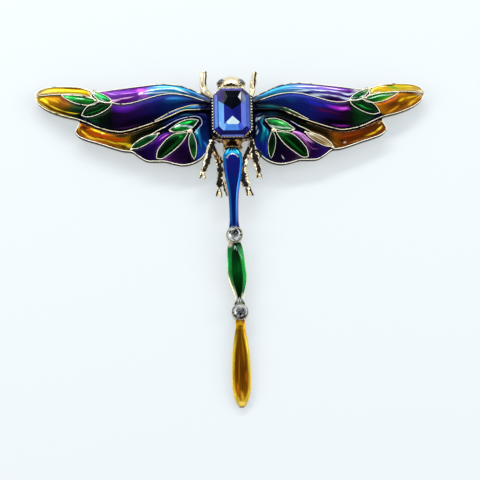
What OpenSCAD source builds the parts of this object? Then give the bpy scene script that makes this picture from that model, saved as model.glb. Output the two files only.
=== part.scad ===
// Insect brooch in millimetres: a cast frame with enamelled cells, five set stones and a pin.
// Shapes are drawn from the middle of the large stone, +Y towards the head, then moved so that
// the origin lies on the resting surface under the middle of the outline.

/* [Wings] */
// Side of the stone's setting to the wing tip
wing_reach = 47.2; // [44:0.2:52]
// Highest point of the forewing to the lowest lobe of the hindwing
wing_chord = 23; // [22:0.2:25]
// Thickness of the cast wing plates
wing_t = 1.8; // [1.6:0.1:2.2]
// Height of the forewing's crest above the resting surface
wing_top = 7; // [6.8:0.1:7.6]
// Distance that the wing tip droops below the crest
tip_drop = 3.4; // [1:0.1:3.6]
// Step down from the forewing to the hindwing
hind_step = 0.8; // [0.5:0.1:1]
// Fall of the wing surface from the middle of the chord to its edges
camber = 0.8; // [0.4:0.1:1]

/* [Enamel] */
// Width of the gold lines between the cells
line_w = 0.44; // [0.36:0.02:0.5]
// Depth of the enamel in its cells
enamel_t = 0.9; // [0.6:0.05:1]
// Rise of the enamel in the middle of a wide cell
enamel_dome = 0.3; // [0.1:0.05:0.4]
// Rim of the cells above the enamel's edge
enamel_lip = 0.12; // [0.05:0.01:0.2]
// Gap between the enamel and the metal
fit_gap = 0.06; // [0.04:0.01:0.08]

/* [Stones] */
// Width of the large stone
stone_w = 10; // [9:0.25:11]
// Length of the large stone
stone_l = 14; // [13:0.25:15]
// Cut of the large stone's corners
stone_corner = 2.2; // [1.8:0.1:2.6]
// Height of the large stone's crown
crown_h = 1.5; // [1:0.1:2]
// Depth of the large stone under its girdle
pavilion_h = 3; // [2.4:0.1:3.4]
// Diameter of the two round stones on the tail
round_d = 3.8; // [3.4:0.1:4]
// Diameter of the eye stones
eye_d = 2; // [1.8:0.1:2.2]
// Gap between a stone and its setting
stone_gap = 0.08; // [0.05:0.01:0.1]

/* [Body] */
// Height of the casting's flat back above the resting surface
back_z = 4.2; // [4:0.1:4.6]
// Height of the setting's rim above the resting surface
rim_z = 9.2; // [8.8:0.1:9.6]
// Wall of the large stone's setting
setting_wall = 0.6; // [0.5:0.05:0.8]
// Middle of the large stone to the tip of the forelegs
fore_reach = 13.2; // [12:0.2:14]
// Length of the hind legs from the setting to the longest toe
leg_reach = 14.8; // [13:0.2:16]
// Thickness of the legs
leg_d = 1.4; // [1.2:0.1:1.6]
// Width of the head
head_w = 7.6; // [7:0.1:8]

/* [Tail] */
// Length of the blue abdomen
abdomen_len = 21.6; // [20:0.2:23]
// Width of the blue abdomen
abdomen_w = 4.8; // [4.4:0.1:5.4]
// Length of the green segment
middle_len = 16.4; // [15:0.2:18]
// Width of the green segment
middle_w = 5; // [4.6:0.1:5.6]
// Length of the amber drop
drop_len = 22.4; // [20:0.2:24]
// Width of the amber drop
drop_w = 4.7; // [4.4:0.1:5.4]
// Outer diameter of the cups that hold the round stones
cup_d = 4.6; // [4.5:0.1:5]
// Rise of a cup above the tail
cup_rise = 0.8; // [0.5:0.1:1]
// Thickness of the tail
tail_t = 1.8; // [1.6:0.1:2.2]
// Height of the abdomen's top above the resting surface
tail_top = 6.6; // [6.2:0.1:7]
// Wall beside the tail's enamel
tail_wall = 0.35; // [0.3:0.05:0.5]
// Rise of the enamel's flat middle facet on the tail
facet_rise = 0.45; // [0.2:0.05:0.6]
// Sideways drift of the tail beyond the first cup
tail_lean = 1; // [-1.5:0.1:1.5]

/* [Pin] */
// Middle of the brooch to the pin's hinge and to its catch
pin_half = 12.5; // [11:0.5:14]
// Distance of the pin ahead of the large stone's middle
pin_y = 3.4; // [3:0.1:4]
// Width of the pin's bar
bar_w = 4; // [3.4:0.1:4.4]
// Thickness of the pin's bar
bar_t = 0.8; // [0.7:0.1:1]
// Diameter of the pin's stem
stem_d = 0.9; // [0.7:0.1:1]
// Length of the hinge block and of the catch
foot_l = 2.6; // [2:0.1:3]

/* [Hidden] */

// Overlap that fuses two pieces of the casting
fuse = 0.4;
// Clear height of a cutting shape above the metal
clear = 3;
// Half of the setting, outside
setting_x = stone_w / 2 + stone_gap + setting_wall;
setting_y = stone_l / 2 + stone_gap + setting_wall;
// Inner end of the wings, inside the setting's wall
root_x = setting_x - fuse;
// Line of the wing's highest point, as a share of the reach
crest_share = 0.15;
// Stations along a cell for each row of its outline
stations = 1.5;
// Width at which a cell has its full dome
full_dome_w = 3;
// Widest inset, as a share of a cell's width
widest_inset = 0.45;

// Height of the large stone's girdle and its thickness
girdle_z = rim_z - 0.2;
girdle_t = 0.1;
// Length and height of the head as shares of its width
head_long = 0.87;
head_high = 0.56;
head_z = back_z + head_w * head_high / 2;
// Depth and outer radius of an eye's socket, as shares of the eye
socket_depth = 0.35;
socket_r = 0.66;
// Height of a leg's middle above the flat back where it leaves the setting, as a share of leg_d,
// and its fall along leg_reach
leg_lift = 1.1;
leg_fall = 0.5;
// Margin of the bar's bed beside and beyond the pin
bed_margin = 0.3;
// Depth of a round stone under its girdle, as a share of its diameter, and of its seat
round_depth = 0.3;
seat_depth = 0.36;
// Length of the pin's point, and of the stem beyond the catch
point_l = 2;
stem_over = 1;

// Places along the tail
waist_l = 1.2;
waist_y = -setting_y - waist_l;
abdomen_end = waist_y - abdomen_len;
cup_1_y = abdomen_end - cup_d * 0.38;
middle_start = cup_1_y - cup_d * 0.42;
middle_end = middle_start - middle_len;
cup_2_y = middle_end - cup_d * 0.42;
drop_start = cup_2_y - cup_d * 0.42;
tail_end = drop_start - drop_len;
// Middle of the whole outline, from the foreleg tips to the tail's end
middle_y = (fore_reach + tail_end) / 2;

// Wing outlines and lines. Columns: share of wing_reach from the setting, share of wing_chord
// from the stone's middle. Rows run away from the body.
LEADING = [[0, 0.222], [0.074, 0.296], [0.142, 0.365], [0.222, 0.407], [0.301, 0.413],
    [0.386, 0.396], [0.47, 0.378], [0.555, 0.359], [0.629, 0.343], [0.689, 0.365],
    [0.746, 0.409], [0.809, 0.426], [0.873, 0.435], [0.932, 0.43], [0.968, 0.409],
    [0.992, 0.37], [1, 0.328]];
FORE_EDGE = [[0, 0.083], [0.089, 0.078], [0.161, 0.07], [0.235, 0.004], [0.311, -0.061],
    [0.386, -0.113], [0.46, -0.157], [0.513, -0.174], [0.576, -0.152], [0.64, -0.109],
    [0.703, -0.043], [0.761, 0.009], [0.831, 0.052], [0.894, 0.104], [0.943, 0.161],
    [0.981, 0.23], [1, 0.306]];
HIND_TUCK = [[0, 0.113], [0.089, 0.104], [0.161, 0.096], [0.235, 0.03], [0.311, -0.035],
    [0.386, -0.087], [0.46, -0.13], [0.513, -0.148], [0.576, -0.126], [0.64, -0.083],
    [0.703, -0.017], [0.75, 0.004]];
HIND_EDGE = [[0, -0.27], [0.013, -0.365], [0.038, -0.443], [0.074, -0.513], [0.121, -0.557],
    [0.169, -0.57], [0.216, -0.552], [0.269, -0.524], [0.322, -0.522], [0.369, -0.513],
    [0.413, -0.461], [0.451, -0.404], [0.502, -0.387], [0.561, -0.348], [0.629, -0.296],
    [0.708, -0.239], [0.752, -0.191], [0.771, -0.13], [0.756, -0.065], [0.75, -0.017]];
VEIN = [[0.011, 0.17], [0.068, 0.209], [0.121, 0.248], [0.174, 0.274], [0.227, 0.285],
    [0.28, 0.276], [0.333, 0.25], [0.386, 0.217], [0.439, 0.185], [0.485, 0.17],
    [0.528, 0.174], [0.561, 0.196]];
BAND_EDGE = [[0.028, 0.135], [0.11, 0.137], [0.174, 0.104], [0.227, 0.061], [0.28, 0],
    [0.32, -0.048], [0.379, -0.083], [0.43, -0.109], [0.481, -0.135], [0.534, -0.139],
    [0.583, -0.122], [0.629, -0.087], [0.672, -0.043], [0.712, 0.017]];

// Cells of one wing. Each is [first edge, second edge, start trim, end trim], with the second
// edge to the right of the first as the rows run, and the trims as shares of the length.
STRIP_TOP = [rows(LEADING, 0, 9),
    concat(VEIN, [[0.58, 0.257], [0.608, 0.296], [0.642, 0.33], [0.678, 0.359]]), 0.02, 0.04];
BAND_MID = [concat(VEIN, [[0.57, 0.148], [0.593, 0.107], [0.629, 0.063], [0.667, 0.035],
    [0.708, 0.024]]), BAND_EDGE, 0.02, 0.04];
STRIP_STEP = [rows(BAND_EDGE, 0, 5),
    [[0.028, 0.085], [0.089, 0.08], [0.161, 0.07], [0.235, 0.004], [0.311, -0.061]], 0.03, 0.08];
AMBER_TOP = [concat(rows(LEADING, 9, 15), [[0.996, 0.346]]),
    [[0.678, 0.27], [0.706, 0.283], [0.742, 0.302], [0.799, 0.32], [0.847, 0.333],
    [0.915, 0.341], [0.996, 0.335]], 0.03, 0.05];
AMBER_LOW = [[[0.697, 0.172], [0.733, 0.183], [0.771, 0.204], [0.816, 0.257], [0.847, 0.313],
    [0.915, 0.328], [0.996, 0.318]],
    [[0.737, 0.039], [0.769, 0.017], [0.831, 0.052], [0.894, 0.104], [0.943, 0.161],
    [0.981, 0.23], [0.996, 0.29]], 0.04, 0.06];
FORE_LEAF_OUTER = [[[0.636, 0.222], [0.682, 0.261], [0.739, 0.296], [0.797, 0.313], [0.85, 0.322]],
    [[0.636, 0.217], [0.691, 0.174], [0.731, 0.185], [0.771, 0.209], [0.816, 0.261],
    [0.85, 0.317]], 0.08, 0.1];
FORE_LEAF_UPPER = [[[0.561, 0.204], [0.58, 0.257], [0.608, 0.296], [0.642, 0.33], [0.678, 0.357]],
    [[0.561, 0.2], [0.6, 0.2], [0.633, 0.226], [0.65, 0.257], [0.669, 0.304], [0.678, 0.352]],
    0.08, 0.1];
FORE_LEAF_LOWER = [[[0.561, 0.191], [0.6, 0.196], [0.633, 0.211], [0.659, 0.18], [0.691, 0.167],
    [0.714, 0.126], [0.733, 0.052]],
    [[0.561, 0.187], [0.572, 0.143], [0.595, 0.104], [0.629, 0.063], [0.667, 0.035],
    [0.701, 0.028], [0.731, 0.048]], 0.07, 0.08];
ROOT_SWEEP = [[[0.449, -0.33], [0.43, -0.291], [0.392, -0.239], [0.343, -0.2], [0.303, -0.152],
    [0.263, -0.113], [0.225, -0.063], [0.191, -0.028], [0.15, -0.002], [0.112, 0.011],
    [0.083, 0.009], [0.061, -0.022], [0.057, -0.08], [0.075, -0.129], [0.099, -0.187],
    [0.097, -0.243], [0.089, -0.304], [0.085, -0.383], [0.089, -0.452], [0.097, -0.522]],
    [[0.449, -0.157], [0.417, -0.139], [0.386, -0.117], [0.347, -0.091], [0.311, -0.065],
    [0.273, -0.035], [0.235, 0], [0.197, 0.041], [0.161, 0.065], [0.125, 0.076],
    [0.089, 0.076], [0.047, 0.069], [0.02, 0.02], [0.016, -0.057], [0.016, -0.13],
    [0.015, -0.2], [0.014, -0.272], [0.017, -0.352], [0.044, -0.448], [0.091, -0.53]],
    0.01, 0.03];
HIND_AMBER = [[[0.46, -0.161], [0.513, -0.178], [0.576, -0.157], [0.64, -0.113],
    [0.703, -0.048], [0.746, -0.017]],
    [[0.464, -0.383], [0.502, -0.387], [0.561, -0.348], [0.629, -0.296], [0.708, -0.239],
    [0.752, -0.191], [0.769, -0.13], [0.754, -0.061], [0.748, -0.026]], 0.02, 0.04];
HIND_LEAF_OUTER = [[[0.305, -0.196], [0.347, -0.207], [0.392, -0.243], [0.432, -0.296],
    [0.456, -0.352]],
    [[0.305, -0.2], [0.32, -0.243], [0.347, -0.287], [0.388, -0.335], [0.422, -0.361],
    [0.456, -0.361]], 0.08, 0.1];
HIND_LEAF_UPPER = [[[0.076, -0.035], [0.104, -0.024], [0.138, -0.026], [0.18, -0.057],
    [0.214, -0.104], [0.242, -0.152]],
    [[0.076, -0.039], [0.091, -0.083], [0.108, -0.122], [0.133, -0.152], [0.172, -0.174],
    [0.21, -0.178], [0.242, -0.157]], 0.08, 0.1];
HIND_LEAF_LONG = [[[0.136, -0.183], [0.203, -0.196], [0.237, -0.228], [0.265, -0.278],
    [0.292, -0.343], [0.309, -0.404], [0.314, -0.478]],
    [[0.136, -0.191], [0.159, -0.27], [0.18, -0.326], [0.21, -0.383], [0.248, -0.443],
    [0.284, -0.487], [0.314, -0.483]], 0.08, 0.08];
HIND_LEAF_INNER = [[[0.114, -0.178], [0.129, -0.23], [0.132, -0.313], [0.125, -0.4],
    [0.114, -0.465], [0.103, -0.5]],
    [[0.112, -0.178], [0.102, -0.23], [0.091, -0.304], [0.089, -0.387], [0.093, -0.448],
    [0.102, -0.5]], 0.08, 0.08];
PLUM_OUTER = [[[0.222, -0.187], [0.252, -0.174], [0.294, -0.209], [0.316, -0.252],
    [0.347, -0.296], [0.388, -0.343], [0.422, -0.37], [0.447, -0.383]],
    [[0.218, -0.204], [0.244, -0.23], [0.269, -0.278], [0.297, -0.343], [0.316, -0.413],
    [0.326, -0.517], [0.369, -0.509], [0.413, -0.457], [0.443, -0.409]], 0.04, 0.05];
PLUM_INNER = [[[0.14, -0.209], [0.161, -0.278], [0.182, -0.335], [0.212, -0.391],
    [0.25, -0.452], [0.297, -0.5]],
    [[0.133, -0.217], [0.137, -0.313], [0.129, -0.4], [0.117, -0.47], [0.112, -0.539],
    [0.146, -0.565], [0.18, -0.565], [0.227, -0.543], [0.294, -0.517]], 0.05, 0.05];
FORE_CELLS = [STRIP_TOP, BAND_MID, STRIP_STEP, AMBER_TOP, AMBER_LOW, FORE_LEAF_OUTER,
    FORE_LEAF_UPPER, FORE_LEAF_LOWER];
HIND_CELLS = [ROOT_SWEEP, HIND_AMBER, HIND_LEAF_OUTER, HIND_LEAF_UPPER, HIND_LEAF_LONG,
    HIND_LEAF_INNER, PLUM_OUTER, PLUM_INNER];

// Outlines of the tail. Columns: share of the segment's length, share of its half width, share
// of that width taken by the flat middle facet of the enamel.
ABDOMEN = [[0, 0.45, 0.1], [0.04, 0.79, 0.2], [0.11, 0.98, 0.5], [0.18, 1, 0.6], [0.26, 0.96, 0.64],
    [0.36, 0.86, 0.62], [0.45, 0.73, 0.58], [0.56, 0.58, 0.52], [0.66, 0.52, 0.46],
    [0.8, 0.48, 0.4], [0.93, 0.5, 0.3], [1, 0.62, 0.2]];
MIDDLE = [[0, 0.5, 0.1], [0.06, 0.6, 0.2], [0.28, 0.84, 0.4], [0.41, 0.95, 0.48], [0.52, 1, 0.5],
    [0.63, 0.91, 0.48], [0.74, 0.71, 0.44], [0.86, 0.48, 0.36], [1, 0.3, 0.2]];
DROP = [[0, 0.5, 0.2], [0.094, 0.47, 0.3], [0.263, 0.76, 0.5], [0.4, 0.93, 0.58], [0.513, 0.98, 0.6],
    [0.647, 1, 0.62], [0.78, 0.96, 0.62], [0.87, 0.76, 0.56], [0.96, 0.38, 0.4], [1, 0.12, 0.2]];

// Rings of the large stone. Columns: share of half its width, share of half its length, share of
// stone_corner, height as a share of the crown or depth as a share of the pavilion.
CROWN = [[0.75, 0.79, 0.8, 1], [0.92, 0.94, 0.95, 0.6]];
PAVILION = [[0.7, 0.73, 0.65, 0.45], [0.04, 0.25, 0.04, 1]];

// Routes of the legs. Columns: share of leg_reach outwards from the setting's side, share of
// leg_reach behind the setting, share of leg_d.
OUTER_LEFT = [[-0.05, -0.08, 1.1], [0, 0.01, 1.2], [0.062, 0.2, 1.3], [0.116, 0.38, 1.1],
    [0.15, 0.495, 0.9]];
OUTER_LEFT_TOES = [[0.22, 0.645, 0.6], [0.115, 0.665, 0.6]];
INNER_LEFT = [[-0.026, 0.042, 1], [-0.1, 0.26, 1], [-0.14, 0.46, 1], [-0.147, 0.67, 1.1],
    [-0.134, 0.8, 0.9]];
INNER_LEFT_TOES = [[-0.07, 0.975, 0.6], [-0.18, 0.98, 0.6]];
SIDE_SPUR = [[-0.155, 0.64, 0.9], [-0.215, 0.715, 0.7], [-0.265, 0.85, 0.5], [-0.275, 0.97, 0.4]];
OUTER_RIGHT = [[-0.05, -0.08, 1.1], [-0.02, 0.035, 1.2], [0, 0.27, 1.2], [0.015, 0.43, 1.1],
    [0.04, 0.54, 0.9]];
OUTER_RIGHT_TOES = [[-0.012, 0.645, 0.6], [0.088, 0.655, 0.6]];
INNER_RIGHT = [[-0.05, 0.03, 1], [-0.147, 0.29, 1.1], [-0.174, 0.49, 1], [-0.147, 0.69, 1.1],
    [-0.114, 0.85, 0.9]];
INNER_RIGHT_TOES = [[-0.145, 0.965, 0.6], [-0.035, 0.98, 0.6]];
// Spurs that join the inner legs to the abdomen
LEFT_SPUR = [[-0.1, 0.26, 1], [-0.2, 0.28, 1]];
RIGHT_SPUR = [[-0.147, 0.29, 1], [-0.22, 0.28, 1]];
// Route of a foreleg. Columns: share of leg_d outwards from the setting, share of fore_reach
// ahead of the stone's middle, share of leg_d.
FORELEG = [[-0.1, 0.38, 1], [0.35, 0.5, 0.9], [0.6, 0.66, 1.1], [0.55, 0.8, 0.9], [0.6, 0.955, 0.85]];

function rows(list, first, last) = [for (i = [first:last]) list[i]];
function row_at(list, i) = list[max(0, min(len(list) - 1, i))];
function across(a, b, s) = a + (b - a) * s;

// Point at a share of a smooth curve through the rows
function curve(list, share) = let (
        place = min(max(share, 0), 1) * (len(list) - 1),
        i = min(floor(place), len(list) - 2),
        f = place - i,
        a = row_at(list, i - 1),
        b = row_at(list, i),
        c = row_at(list, i + 1),
        d = row_at(list, i + 2))
    (2 * b + (c - a) * f + (2 * a - 5 * b + 4 * c - d) * f * f + (3 * b - a - 3 * c + d) * f * f * f) / 2;

function wing_point(share) = [root_x + share[0] * wing_reach, share[1] * wing_chord];
function wing_curve(list, share) = wing_point(curve(list, share));

// Height of the forewing's surface
function wing_height(p) = let (
        along = ((p[0] - root_x) / wing_reach - crest_share) / (1 - crest_share),
        beside = 2 * p[1] / wing_chord)
    wing_top - tip_drop * along * along - camber * beside * beside;
function raised(p, h) = [p[0], p[1], wing_height(p) + h];

// Ring round a cell at one station: two edges and a middle on top, two edges below
function cell_ring(a, b, inset, top, low, dome) = let (
        w = norm(b - a),
        e = min(inset / w, widest_inset),
        p = across(a, b, e),
        q = across(a, b, 1 - e),
        crown = dome * min(1, w / full_dome_w))
    [raised(p, top), raised((a + b) / 2, top + crown), raised(q, top), raised(q, low), raised(p, low)];
function cell_rings(cell, inset, trim, top, low, dome) = let (
        n = ceil(stations * (len(cell[0]) - 1)),
        from = cell[2] + trim,
        to = 1 - cell[3] - trim)
    [for (i = [0:n]) let (share = from + (to - from) * i / n)
        cell_ring(wing_curve(cell[0], share), wing_curve(cell[1], share), inset, top, low, dome)];

// Octagon with cut corners, as a ring at one height
function octagon(half_w, half_l, cut, z) = [
    [half_w, half_l - cut, z], [half_w, cut - half_l, z], [half_w - cut, -half_l, z],
    [cut - half_w, -half_l, z], [-half_w, cut - half_l, z], [-half_w, half_l - cut, z],
    [cut - half_w, half_l, z], [half_w - cut, half_l, z]];
// Ring of the large stone at one row of its tables, widened by a gap
function gem_ring(row, gap, z) =
    octagon(stone_w / 2 * row[0] + gap, stone_l / 2 * row[1] + gap, stone_corner * row[2], z);
// Regular ring of sides at one height
function round_ring(r, sides, z) = [for (i = [0:sides - 1])
    [r * cos(360 * (i + 0.5) / sides), -r * sin(360 * (i + 0.5) / sides), z]];

// Sideways place and height of the tail at a distance behind the stone
function tail_share(y) = min(1, max(0, (y - cup_1_y) / (cup_2_y - cup_1_y)));
function tail_x(y) = tail_lean * tail_share(y) * tail_share(y) * (3 - 2 * tail_share(y));
function tail_z(y) = tail_top + (tail_t - tail_top) * (y - waist_y) / (tail_end - waist_y);

function leg_point(row, side) = [
    side * (setting_x + row[0] * leg_reach),
    -setting_y - row[1] * leg_reach,
    back_z + leg_d * (leg_lift - leg_fall * row[1])];
function foreleg_point(row) = [setting_x + row[0] * leg_d, row[1] * fore_reach, back_z + leg_d * leg_lift];

// Solid through rings of the same count, with flat ends
module skin(rings) {
    k = len(rings[0]);
    last = (len(rings) - 1) * k;
    polyhedron(
        points = [for (ring = rings) each ring],
        faces = concat(
            [for (i = [0:len(rings) - 2], j = [0:k - 1])
                let (a = i * k + j, b = i * k + (j + 1) % k) each [[a, a + k, b], [b, a + k, b + k]]],
            [for (j = [1:k - 2]) [0, j, j + 1]],
            [for (j = [1:k - 2]) [last, last + j + 1, last + j]]));
}

module plate(first, second, step) {
    cell = [first, second, 0, 0];
    inset = -line_w / 4;
    skin(cell_rings(cell, inset, 0, -step, -step - wing_t, 0));
}

module pocket(cell, step) {
    skin(cell_rings(cell, line_w / 2, 0, clear, -step - enamel_lip - enamel_t, 0));
}

module enamel(cell, step) {
    trim = fit_gap / wing_reach;
    skin(cell_rings(cell, line_w / 2 + fit_gap, trim, -step - enamel_lip,
        fit_gap - step - enamel_lip - enamel_t, enamel_dome));
}

module wing() {
    plate(LEADING, FORE_EDGE, 0);
    plate(HIND_TUCK, HIND_EDGE, hind_step);
}

module wing_pockets() {
    for (cell = FORE_CELLS) {
        pocket(cell, 0);
    }
    for (cell = HIND_CELLS) {
        pocket(cell, hind_step);
    }
}

module on_both_sides() {
    children();
    mirror([1, 0, 0]) children();
}

module setting() {
    difference() {
        skin([octagon(setting_x, setting_y, stone_corner, rim_z),
            octagon(setting_x, setting_y, stone_corner, back_z)]);
        skin(concat(
            [for (z = [rim_z + clear, girdle_z - stone_gap]) gem_ring([1, 1, 1], stone_gap, z)],
            [for (row = PAVILION) gem_ring(row, stone_gap, girdle_z - pavilion_h * row[3] - stone_gap)]));
    }
}

module head() {
    difference() {
        union() {
            translate([0, setting_y, head_z]) scale([1, head_long, head_high]) sphere(d = head_w, $fn = 16);
            on_both_sides() eye_place() translate([0, 0, -2 * socket_depth * eye_d])
                cylinder(h = (2 * socket_depth + 0.1) * eye_d, r = socket_r * eye_d, $fn = 12);
        }
        on_both_sides() eye_place() translate([0, 0, -socket_depth * eye_d])
            cylinder(h = eye_d, r = eye_d / 2 + stone_gap, $fn = 12);
    }
}

// Place of the right eye, its axis out of the head
module eye_place() {
    translate([0.37 * head_w, setting_y + 0.26 * head_w, head_z + 0.11 * head_w])
        rotate([0, 50, 45]) children();
}

module limb(points, sizes) {
    for (i = [0:len(points) - 2]) {
        hull() {
            translate(points[i]) sphere(d = sizes[i], $fn = 6);
            translate(points[i + 1]) sphere(d = sizes[i + 1], $fn = 6);
        }
    }
}

module leg(table, toes, side) {
    limb([for (row = table) leg_point(row, side)], [for (row = table) row[2] * leg_d]);
    last = table[len(table) - 1];
    for (toe = toes) {
        limb([leg_point(last, side), leg_point(toe, side)], [last[2] * leg_d, toe[2] * leg_d]);
    }
}

module foreleg() {
    limb([for (row = FORELEG) foreleg_point(row)], [for (row = FORELEG) row[2] * leg_d]);
}

module waist() {
    hull() {
        translate([-0.3 * stone_w, -setting_y, back_z])
            cube([0.6 * stone_w, waist_l - fuse, rim_z - setting_wall - 2 * back_z / 3 - waist_l]);
        translate([-0.35 * abdomen_w, waist_y - waist_l, tail_z(waist_y) - tail_t])
            cube([0.7 * abdomen_w, waist_l, 0.9 * tail_t]);
    }
}

// Ring of the tail at one row of an outline
function tail_ring(row, start, length, width, wall, top, low, rise) = let (
        y = start - row[0] * length,
        x = tail_x(y),
        half = max(row[1] * width / 2 - wall, 0.1),
        flat = half * row[2],
        z = tail_z(y))
    [[x + half, y, z + top], [x + flat, y, z + top + rise * row[1]],
    [x - flat, y, z + top + rise * row[1]], [x - half, y, z + top],
    [x - half, y, z + low], [x + half, y, z + low]];
function tail_rings(table, start, length, width, wall, top, low, rise) =
    [for (row = table) tail_ring(row, start, length, width, wall, top, low, rise)];

// Rows of an outline drawn in from both ends
function drawn_in(table, share) = [for (row = table) [share + row[0] * (1 - 2 * share), row[1], row[2]]];

module tail_segment(table, start, length, width) {
    skin(tail_rings(table, start, length, width, 0, 0, -tail_t, 0));
}

module tail_pocket(table, start, length, width) {
    inner = drawn_in(table, tail_wall / length * 1.5);
    skin(tail_rings(inner, start, length, width, tail_wall, clear, -enamel_t, 0));
}

module tail_enamel(table, start, length, width) {
    inner = drawn_in(table, (tail_wall * 1.5 + fit_gap) / length);
    skin(tail_rings(inner, start, length, width, tail_wall + fit_gap, 0, fit_gap - enamel_t, facet_rise));
}

module cup(y) {
    translate([tail_x(y), y, tail_z(y) - tail_t]) cylinder(h = tail_t + cup_rise, d = cup_d, $fn = 16);
}

module cup_seat(y) {
    translate([tail_x(y), y, tail_z(y) + cup_rise - round_d * seat_depth])
        cylinder(h = clear, d = round_d + 2 * stone_gap, $fn = 24);
}

// Bed on the flat back that joins the wings and carries the pin
module pin_bed() {
    length = 2 * pin_half + foot_l + 2 * bed_margin;
    translate([-length / 2, pin_y - bar_w / 2 - bed_margin, back_z])
        cube([length, bar_w + 2 * bed_margin, wing_top - wing_t + fuse - back_z]);
}

module legs() {
    leg(OUTER_LEFT, OUTER_LEFT_TOES, -1);
    leg(INNER_LEFT, INNER_LEFT_TOES, -1);
    leg(SIDE_SPUR, [], -1);
    leg(LEFT_SPUR, [], -1);
    leg(OUTER_RIGHT, OUTER_RIGHT_TOES, 1);
    leg(INNER_RIGHT, INNER_RIGHT_TOES, 1);
    leg(RIGHT_SPUR, [], 1);
}

module casting() {
    on_both_sides() {
        wing();
        foreleg();
    }
    setting();
    head();
    waist();
    pin_bed();
    legs();
    tail_segment(ABDOMEN, waist_y, abdomen_len, abdomen_w);
    tail_segment(MIDDLE, middle_start, middle_len, middle_w);
    tail_segment(DROP, drop_start, drop_len, drop_w);
    cup(cup_1_y);
    cup(cup_2_y);
}

module placed() {
    translate([0, -middle_y, 0]) children();
}

module frame() {
    color("gold") placed() difference() {
        casting();
        on_both_sides() wing_pockets();
        tail_pocket(ABDOMEN, waist_y, abdomen_len, abdomen_w);
        tail_pocket(MIDDLE, middle_start, middle_len, middle_w);
        tail_pocket(DROP, drop_start, drop_len, drop_w);
        cup_seat(cup_1_y);
        cup_seat(cup_2_y);
    }
}

// Pin soldered together as one plain piece: bar, hinge block, stem and catch
module pin() {
    bar_z = back_z - fit_gap - bar_t;
    bar_l = 2 * pin_half + foot_l;
    foot_w = 0.7 * bar_w;
    stem_l = bar_l / 2 + pin_half + stem_over;
    stem_z = 0.4 * bar_z;
    color("goldenrod") placed() translate([0, pin_y, 0]) {
        translate([-bar_l / 2, -bar_w / 2, bar_z]) cube([bar_l, bar_w, bar_t]);
        for (side = [-1, 1]) {
            translate([side * pin_half - foot_l / 2, -foot_w / 2, 0])
                cube([foot_l, foot_w, bar_z + bar_t / 2]);
        }
        translate([-pin_half, 0, stem_z]) rotate([0, 90, 0]) {
            cylinder(h = stem_l, d = stem_d, $fn = 24);
            translate([0, 0, stem_l]) cylinder(h = point_l, d1 = stem_d, d2 = stem_d / 5, $fn = 24);
        }
    }
}

module centre_stone() {
    color("royalblue") placed() skin(concat(
        [for (row = CROWN) gem_ring(row, 0, girdle_z + crown_h * row[3])],
        [for (z = [girdle_z + girdle_t, girdle_z]) gem_ring([1, 1, 1], 0, z)],
        [for (row = PAVILION) gem_ring(row, 0, girdle_z - pavilion_h * row[3])]));
}

module round_stone(d) {
    skin([round_ring(d * 0.29, 12, d * 0.16),
        round_ring(d / 2, 12, d * 0.01),
        round_ring(d / 2, 12, 0),
        round_ring(d * 0.08, 12, -d * round_depth)]);
}

module tail_stone(y) {
    color("gainsboro") placed()
        translate([tail_x(y), y, tail_z(y) + cup_rise]) round_stone(round_d);
}

module eye_stone() {
    color("slategray") placed() eye_place() round_stone(eye_d);
}

module right(shade) {
    color(shade) placed() children();
}

module left(shade) {
    color(shade) placed() mirror([1, 0, 0]) children();
}

module abdomen_enamel() {
    color("mediumblue") placed() tail_enamel(ABDOMEN, waist_y, abdomen_len, abdomen_w);
}

module middle_enamel() {
    color("forestgreen") placed() tail_enamel(MIDDLE, middle_start, middle_len, middle_w);
}

module drop_enamel() {
    color("orange") placed() tail_enamel(DROP, drop_start, drop_len, drop_w);
}

frame();
pin();
centre_stone();
tail_stone(cup_1_y);  // round_stone_upper
tail_stone(cup_2_y);  // round_stone_lower
eye_stone();  // eye_stone_right
mirror([1, 0, 0]) eye_stone();  // eye_stone_left
abdomen_enamel();
middle_enamel();
drop_enamel();
right("dodgerblue") enamel(STRIP_TOP, 0);  // strip_top_right
left("dodgerblue") enamel(STRIP_TOP, 0);  // strip_top_left
right("midnightblue") enamel(BAND_MID, 0);  // band_mid_right
left("midnightblue") enamel(BAND_MID, 0);  // band_mid_left
right("teal") enamel(STRIP_STEP, 0);  // strip_step_right
left("teal") enamel(STRIP_STEP, 0);  // strip_step_left
right("orange") enamel(AMBER_TOP, 0);  // amber_top_right
left("orange") enamel(AMBER_TOP, 0);  // amber_top_left
right("orange") enamel(AMBER_LOW, 0);  // amber_low_right
left("orange") enamel(AMBER_LOW, 0);  // amber_low_left
right("green") enamel(FORE_LEAF_OUTER, 0);  // fore_leaf_outer_right
left("green") enamel(FORE_LEAF_OUTER, 0);  // fore_leaf_outer_left
right("green") enamel(FORE_LEAF_UPPER, 0);  // fore_leaf_upper_right
left("green") enamel(FORE_LEAF_UPPER, 0);  // fore_leaf_upper_left
right("green") enamel(FORE_LEAF_LOWER, 0);  // fore_leaf_lower_right
left("green") enamel(FORE_LEAF_LOWER, 0);  // fore_leaf_lower_left
right("navy") enamel(ROOT_SWEEP, hind_step);  // root_sweep_right
left("navy") enamel(ROOT_SWEEP, hind_step);  // root_sweep_left
right("darkorange") enamel(HIND_AMBER, hind_step);  // hind_amber_right
left("darkorange") enamel(HIND_AMBER, hind_step);  // hind_amber_left
right("green") enamel(HIND_LEAF_OUTER, hind_step);  // hind_leaf_outer_right
left("green") enamel(HIND_LEAF_OUTER, hind_step);  // hind_leaf_outer_left
right("green") enamel(HIND_LEAF_UPPER, hind_step);  // hind_leaf_upper_right
left("green") enamel(HIND_LEAF_UPPER, hind_step);  // hind_leaf_upper_left
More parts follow.
